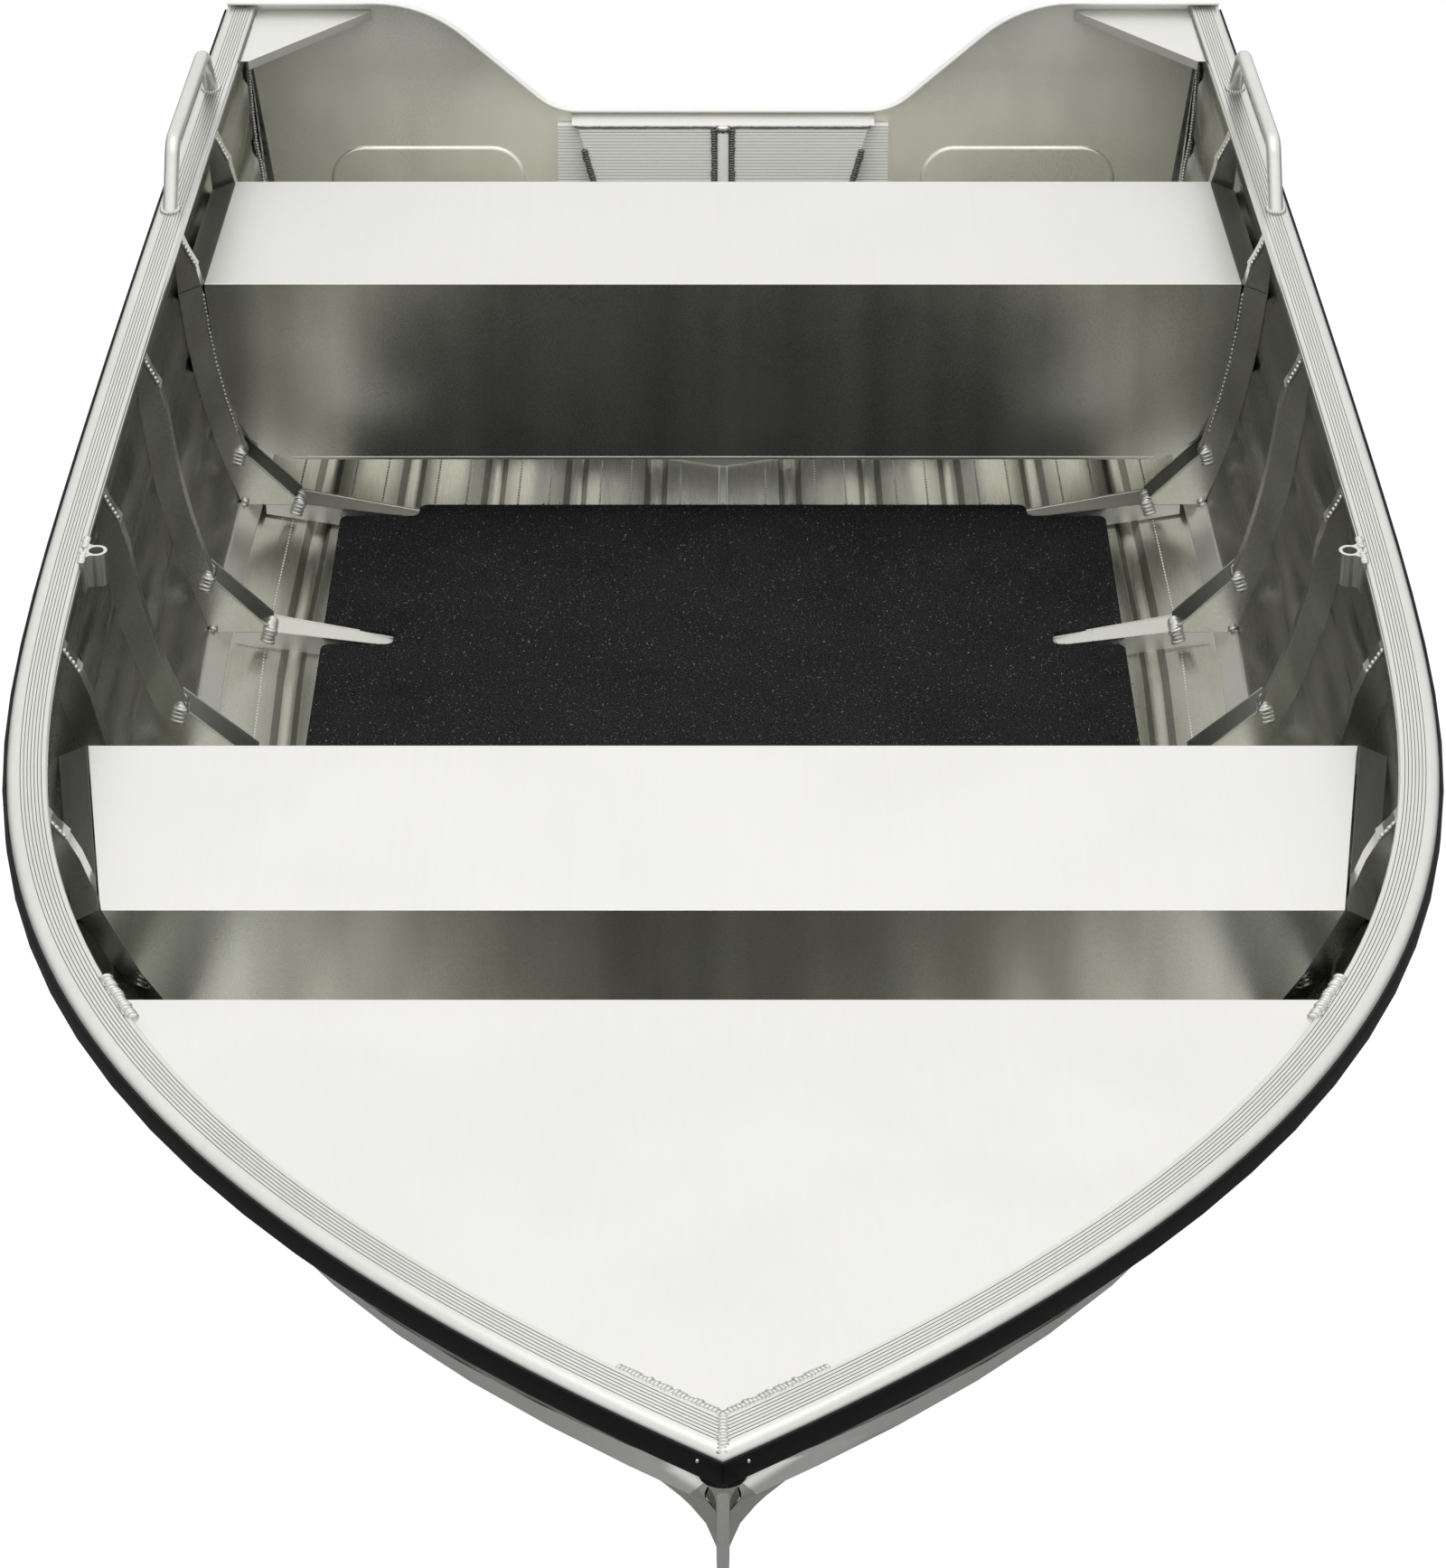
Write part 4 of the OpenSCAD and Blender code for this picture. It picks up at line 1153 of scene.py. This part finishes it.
class BOAT_OT_welds(bpy.types.Operator):
    """Weld beads on the gunwales, deck, ribs, transom and fittings"""

    bl_idname = "boat.welds"
    bl_label = "Welds"

    def execute(self, context):
        lines = Lines()
        self.draw = random.Random(11)
        self.bow(lines)
        self.ribs(lines)
        self.stern(lines)
        self.fittings(lines)
        return {"FINISHED"}

    def bead(self, bm, points, normal, width, height, pitch=None):
        """A run of overlapping scales along the points"""
        pitch = pitch or detail().weld_pitch
        normal = Vector(normal).normalized()
        spots, carried = [], 0.0
        for a, b in zip(points, points[1:]):
            span = (b - a).length
            while carried < span:
                spots.append((a.lerp(b, carried / span), (b - a).normalized()))
                carried += pitch
            carried -= span
        for spot, along in spots:
            across = normal.cross(along).normalized()
            up = along.cross(across)
            turn = Matrix((along, across, up)).transposed().to_4x4()
            size = self.draw.uniform(0.9, 1.12)
            wobble = across * self.draw.uniform(-0.06, 0.06) * width
            scale = Matrix.Diagonal((pitch * 0.72, width / 2 * size, height * size, 1))
            bmesh.ops.create_uvsphere(
                bm, u_segments=8, v_segments=5, radius=1,
                matrix=Matrix.Translation(spot + wobble) @ turn @ scale)

    def both_sides(self, bm, name, material=None):
        """Joins a mirrored copy, so a weld made to port is on both sides"""
        other = bm.copy()
        join(bm, mirrored(other))
        piece(bm, name, material or weld_metal(), smooth=70)

    def bow(self, lines):
        h = lines.h
        bm = bmesh.new()
        mitre = [lines.rim(lines.rim_start(u), u, v)
                 for u, v in ((h.gunwale_w, -0.0015), (0.012, -0.0015), (0.005, -0.0045))]
        for point in mitre:
            point.x = 0
        self.bead(bm, mitre, (0, 0, 1), 0.0105, 0.0028, 0.0042)
        piece(bm, "mitre_weld", weld_metal(), smooth=70)
        bm = bmesh.new()
        edge = h.gunwale_w + 0.0015
        run = [lines.rim(lines.rim_start(edge) + 0.15 * k / 12, edge, -0.003) for k in range(13)]
        self.bead(bm, [p for p in run if p.x < 0.094], (0, 0, 1), 0.0115, 0.0045)
        run = [lines.rim(h.deck_aft - 0.078 * k / 6, edge, -0.002) for k in range(7)]
        self.bead(bm, run, (0, 0, 1), 0.014, 0.0055, 0.0055)
        self.both_sides(bm, "deck_welds")

    def ribs(self, lines):
        h = lines.h
        bm = bmesh.new()
        for number in range(1, 7):
            s = lines.rib_s(number)
            base = lines.chine_z(s)
            flange = Vector((0, h.rib_flange, 0))
            head = [lines.rib_edge(s, t, 0.002) for t in (0.055, 0.14)]
            self.bead(bm, head, (-1, -0.4, 0.4), 0.007, 0.0036, 0.006)
            top = lines.inner_at(s, base + h.knee_rise)
            top.x -= h.rib_depth * 0.93
            foot = Vector((lines.chine_x(s) - h.knee_reach, lines.aft(s), base + 0.018))
            heel = lines.inner_at(s, base + 0.020)
            heel.x -= 0.006
            for spot, size in ((top, 1), (foot, 1), (heel, 0.7)):
                start = spot + Vector((0, -0.003, 0.002))
                self.bead(bm, [start, start + flange * 1.6], (-1, 0, 1), 0.018 * size,
                          0.006 * size, 0.0055)
                low = start + Vector((0.006, -0.0012, -0.017 * size))
                self.bead(bm, [start, low], (0, -1, 0), 0.019 * size, 0.005 * size, 0.0055)
        s = lines.rib_s(2)
        seam = [lines.rib_edge(s, t, 0.0015) + Vector((0, -0.0016, 0))
                for t in (0.24, 0.36, 0.48, 0.6, 0.72)]
        self.bead(bm, seam, (0, -1, 0), 0.0046, 0.0018, 0.0062)
        self.both_sides(bm, "rib_welds")

    def stern(self, lines):
        h = lines.h
        bm = bmesh.new()
        corner = []
        for k in range(14):
            z = mix(h.freeboard - 0.04, 0.06, k / 13)
            s = h.length - (h.freeboard - z) * math.tan(h.rake) - 0.005
            point = lines.inner_at(s, z)
            corner.append(point + Vector((self.draw.uniform(-0.0025, 0.001), -0.002, 0)))
        self.bead(bm, corner, (-1, -1, 0), 0.007, 0.004, 0.0042)
        top = -h.dip_depth - 0.016
        face = 0.0396
        self.both_sides(bm, "stern_welds")
        bm = bmesh.new()
        self.bead(bm, [lines.transom(0, top - 0.002, face), lines.transom(0.216, top - 0.002, face)],
                  (0, -1, 0.6), 0.004, 0.0025)
        strut = [lines.transom(mix(0.2145, 0.151, k), top - 0.215 * k, face) for k in (0.17, 0.96)]
        self.bead(bm, strut, (0, -1, 0.2), 0.011, 0.007, 0.0036)
        side = [lines.transom(0.0125, top - 0.215 * k, face) for k in (0.03, 1)]
        self.bead(bm, side, (0, -1, 0.2), 0.011, 0.005, 0.0036)
        self.bead(bm, [lines.transom(0.0, top - 0.006, face + 0.006),
                       lines.transom(0.011, top - 0.006, face + 0.002)], (0, -1, 0.6), 0.01, 0.007)
        rail = [lines.rim(mix(h.length - 0.2, h.length - 0.02, k / 8), h.gunwale_w, -0.006)
                for k in range(9)]
        self.bead(bm, rail, (-1, 0, 1), 0.004, 0.003, 0.0045)
        self.both_sides(bm, "plank_welds", dark_and_shade_metal())

    def fittings(self, lines):
        h = lines.h
        bm = bmesh.new()
        for station in (2.656, 3.060):
            centre = lines.rim(station, 0.020, 0.0005)
            ring = [centre + Vector((0.0112 * math.cos(a), 0.0138 * math.sin(a), 0))
                    for a in (k * math.tau / 20 for k in range(21))]
            self.bead(bm, ring, (0, 0, 1), 0.006, 0.0035, 0.0034)
        for way in (-1, 1):
            run = [lines.rim(1.729 + way * reach, h.gunwale_w + 0.001, 0) for reach in (0.008, 0.030)]
            self.bead(bm, run, (-0.3, 0, 1), 0.010, 0.0024)
        self.both_sides(bm, "fitting_welds")


class BOAT_OT_trim(bpy.types.Operator):
    """Tabs on the ribs' heads, hems under the seats, and the bow's neck and screws"""

    bl_idname = "boat.trim"
    bl_label = "Trim"

    def execute(self, context):
        lines = Lines()
        self.tabs(lines)
        self.knee_flanges(lines)
        self.floor_flanges(lines)
        self.hems()
        self.neck(lines)
        self.screws(lines)
        return {"FINISHED"}

    def tabs(self, lines):
        for side, sign in SIDES:
            bm = bmesh.new()
            for number in range(1, 7):
                s = lines.rib_s(number)
                rings = []
                for y in (-0.001, lines.h.rib_flange + 0.001):
                    outer = [lines.rib_edge(s, t, 0.0022) for t in (0.045, 0.1, 0.15)]
                    inner = [lines.rib_edge(s, t, 0.0004) for t in (0.15, 0.1, 0.045)]
                    rings.append([p + Vector((0, y, 0.0006)) for p in outer + inner])
                join(bm, sweep(rings))
            if sign < 0:
                mirrored(bm)
            round_edges(bm, 0.0004, 40, 1)
            piece(bm, f"rib_tabs_{side}", rail_metal(), weighted=True)

    def strip(self, bm, start, end, first, last, thick=0.0012, hem=0.0016):
        """A flat strip between two points with a bright hem along both edges

        It reaches aft by first at its start and by last at its end."""
        for near, far, rise, mark in (
                ((0, 0), (first, last), 0, 0), ((-hem, -hem), (hem, hem), 0.0008, 1),
                ((first - hem, last - hem), (first + hem, last + hem), 0.0008, 1)):
            lift = Vector((0, 0, thick + rise))
            rings = [[start + Vector((0, y, 0)), end + Vector((0, z, 0)),
                      end + Vector((0, z, 0)) + lift, start + Vector((0, y, 0)) + lift]
                     for y, z in (near, far)]
            part = sweep(rings)
            for face in part.faces:
                face.material_index = mark
            join(bm, part)

    def knee_flanges(self, lines):
        """Broad flanges on the knees, darkened as painted shade"""
        h = lines.h
        for side, sign in SIDES:
            bm = bmesh.new()
            for number in range(1, 7):
                s = lines.rib_s(number)
                base = lines.chine_z(s)
                top = lines.inner_at(s, base + h.knee_rise)
                top.x -= h.rib_depth * 0.9
                foot = Vector((lines.chine_x(s) - h.knee_reach, top.y, base + 0.0155))
                rise = Vector((0, 0, 0.0042))
                self.strip(bm, foot + rise, top + rise, h.knee_flange, h.knee_flange)
            if sign < 0:
                mirrored(bm)
            piece(bm, f"knee_flanges_{side}", dark_and_shade_metal(), second=rib_metal())

    def floor_flanges(self, lines):
        """Broad bright flanges on the floor ribs, beside the board"""
        h = lines.h
        for side, sign in SIDES:
            bm = bmesh.new()
            for number in range(1, 4):
                s = lines.rib_s(number)
                foot = Vector((lines.chine_x(s) - h.knee_reach, lines.aft(s),
                               lines.chine_z(s) + 0.0152))
                middle = Vector((0.01, foot.y, lines.keel_z(s) + h.floor_rib_h + 0.0002))
                self.strip(bm, foot.lerp(middle, 0.42), foot, 0.012, h.knee_flange)
            if sign < 0:
                mirrored(bm)
            piece(bm, f"floor_flanges_{side}", bright_metal(), second=rib_metal())

    def hems(self):
        """Narrow hems along the bottom of the seats' fronts"""
        bm = bmesh.new()
        for seat in ("rear_seat", "front_seat"):
            low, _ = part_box(seat)
            edge = [v.co for v in NODES[seat].data.vertices
                    if v.co.z < low.z + 0.001 and v.co.y < low.y + 0.004]
            reach = max(v.x for v in edge) - 0.004
            corner = [(low.y - 0.0012, low.z), (low.y + 0.001, low.z),
                      (low.y + 0.001, low.z + 0.0035), (low.y - 0.0012, low.z + 0.0035)]
            join(bm, sweep([[Vector((x, y, z)) for y, z in corner] for x in (-reach, reach)]))
        piece(bm, "seat_hems", bright_metal())

    def neck(self, lines):
        """A flared neck between the side sheets' ends and the stem bar"""
        rings = []
        for k in range(9):
            share = k / 8
            half = mix(0.0062, 0.020, (1 - share) ** 2.4)
            deep = mix(0.010, 0.018, (1 - share) ** 2)
            centre = Vector((0, lines.aft(mix(0.020, 0.034, share)), mix(0.545, 0.497, share)))
            rings.append([centre + Vector((half * math.cos(a), deep * math.sin(a), 0))
                          for a in (n * math.tau / 24 for n in range(24))])
        piece(sweep(rings), "stem_neck", sheet_metal())

    def screws(self, lines):
        bm = bmesh.new()
        for side, sign in SIDES:
            at = lines.rim(0.0145, -0.0042, -0.0115)
            at.x *= sign
            bmesh.ops.create_uvsphere(
                bm, u_segments=12, v_segments=6, radius=0.0019, matrix=Matrix.Translation(at))
        piece(bm, "band_screws", weld_metal())


def join(bm, part):
    mesh = bpy.data.meshes.new("part")
    part.to_mesh(mesh)
    part.free()
    bm.from_mesh(mesh)
    bpy.data.meshes.remove(mesh)


class BOAT_PT_panel(bpy.types.Panel):
    """The boat's operators, in the order in which they run"""

    bl_idname = "BOAT_PT_panel"
    bl_label = "Boat"
    bl_space_type = "VIEW_3D"
    bl_region_type = "UI"
    bl_category = "Boat"

    def draw(self, context):
        for operator in OPERATORS:
            self.layout.operator(operator.bl_idname)


SETTINGS = (
    ("boat_hull", BoatHullSettings),
    ("boat_finish", BoatFinishSettings),
    ("boat_detail", BoatDetailSettings),
    ("boat_stage", BoatStageSettings),
)
OPERATORS = (
    BOAT_OT_stage, BOAT_OT_sheets, BOAT_OT_gunwales, BOAT_OT_rubber, BOAT_OT_bars,
    BOAT_OT_transom, BOAT_OT_ribs, BOAT_OT_seats, BOAT_OT_deck, BOAT_OT_floor_board,
    BOAT_OT_fittings, BOAT_OT_stitches, BOAT_OT_welds, BOAT_OT_trim,
)
CLASSES = (*(group for _, group in SETTINGS), *OPERATORS, BOAT_PT_panel)


def register():
    for cls in CLASSES:
        bpy.utils.register_class(cls)
    for name, group in SETTINGS:
        setattr(bpy.types.Scene, name, bpy.props.PointerProperty(type=group))


def unregister():
    for name, _ in SETTINGS:
        delattr(bpy.types.Scene, name)
    for cls in reversed(CLASSES):
        bpy.utils.unregister_class(cls)


def main():
    register()
    for operator in OPERATORS:
        space, name = operator.bl_idname.split(".")
        getattr(getattr(bpy.ops, space), name)()


if __name__ == "__main__":
    main()
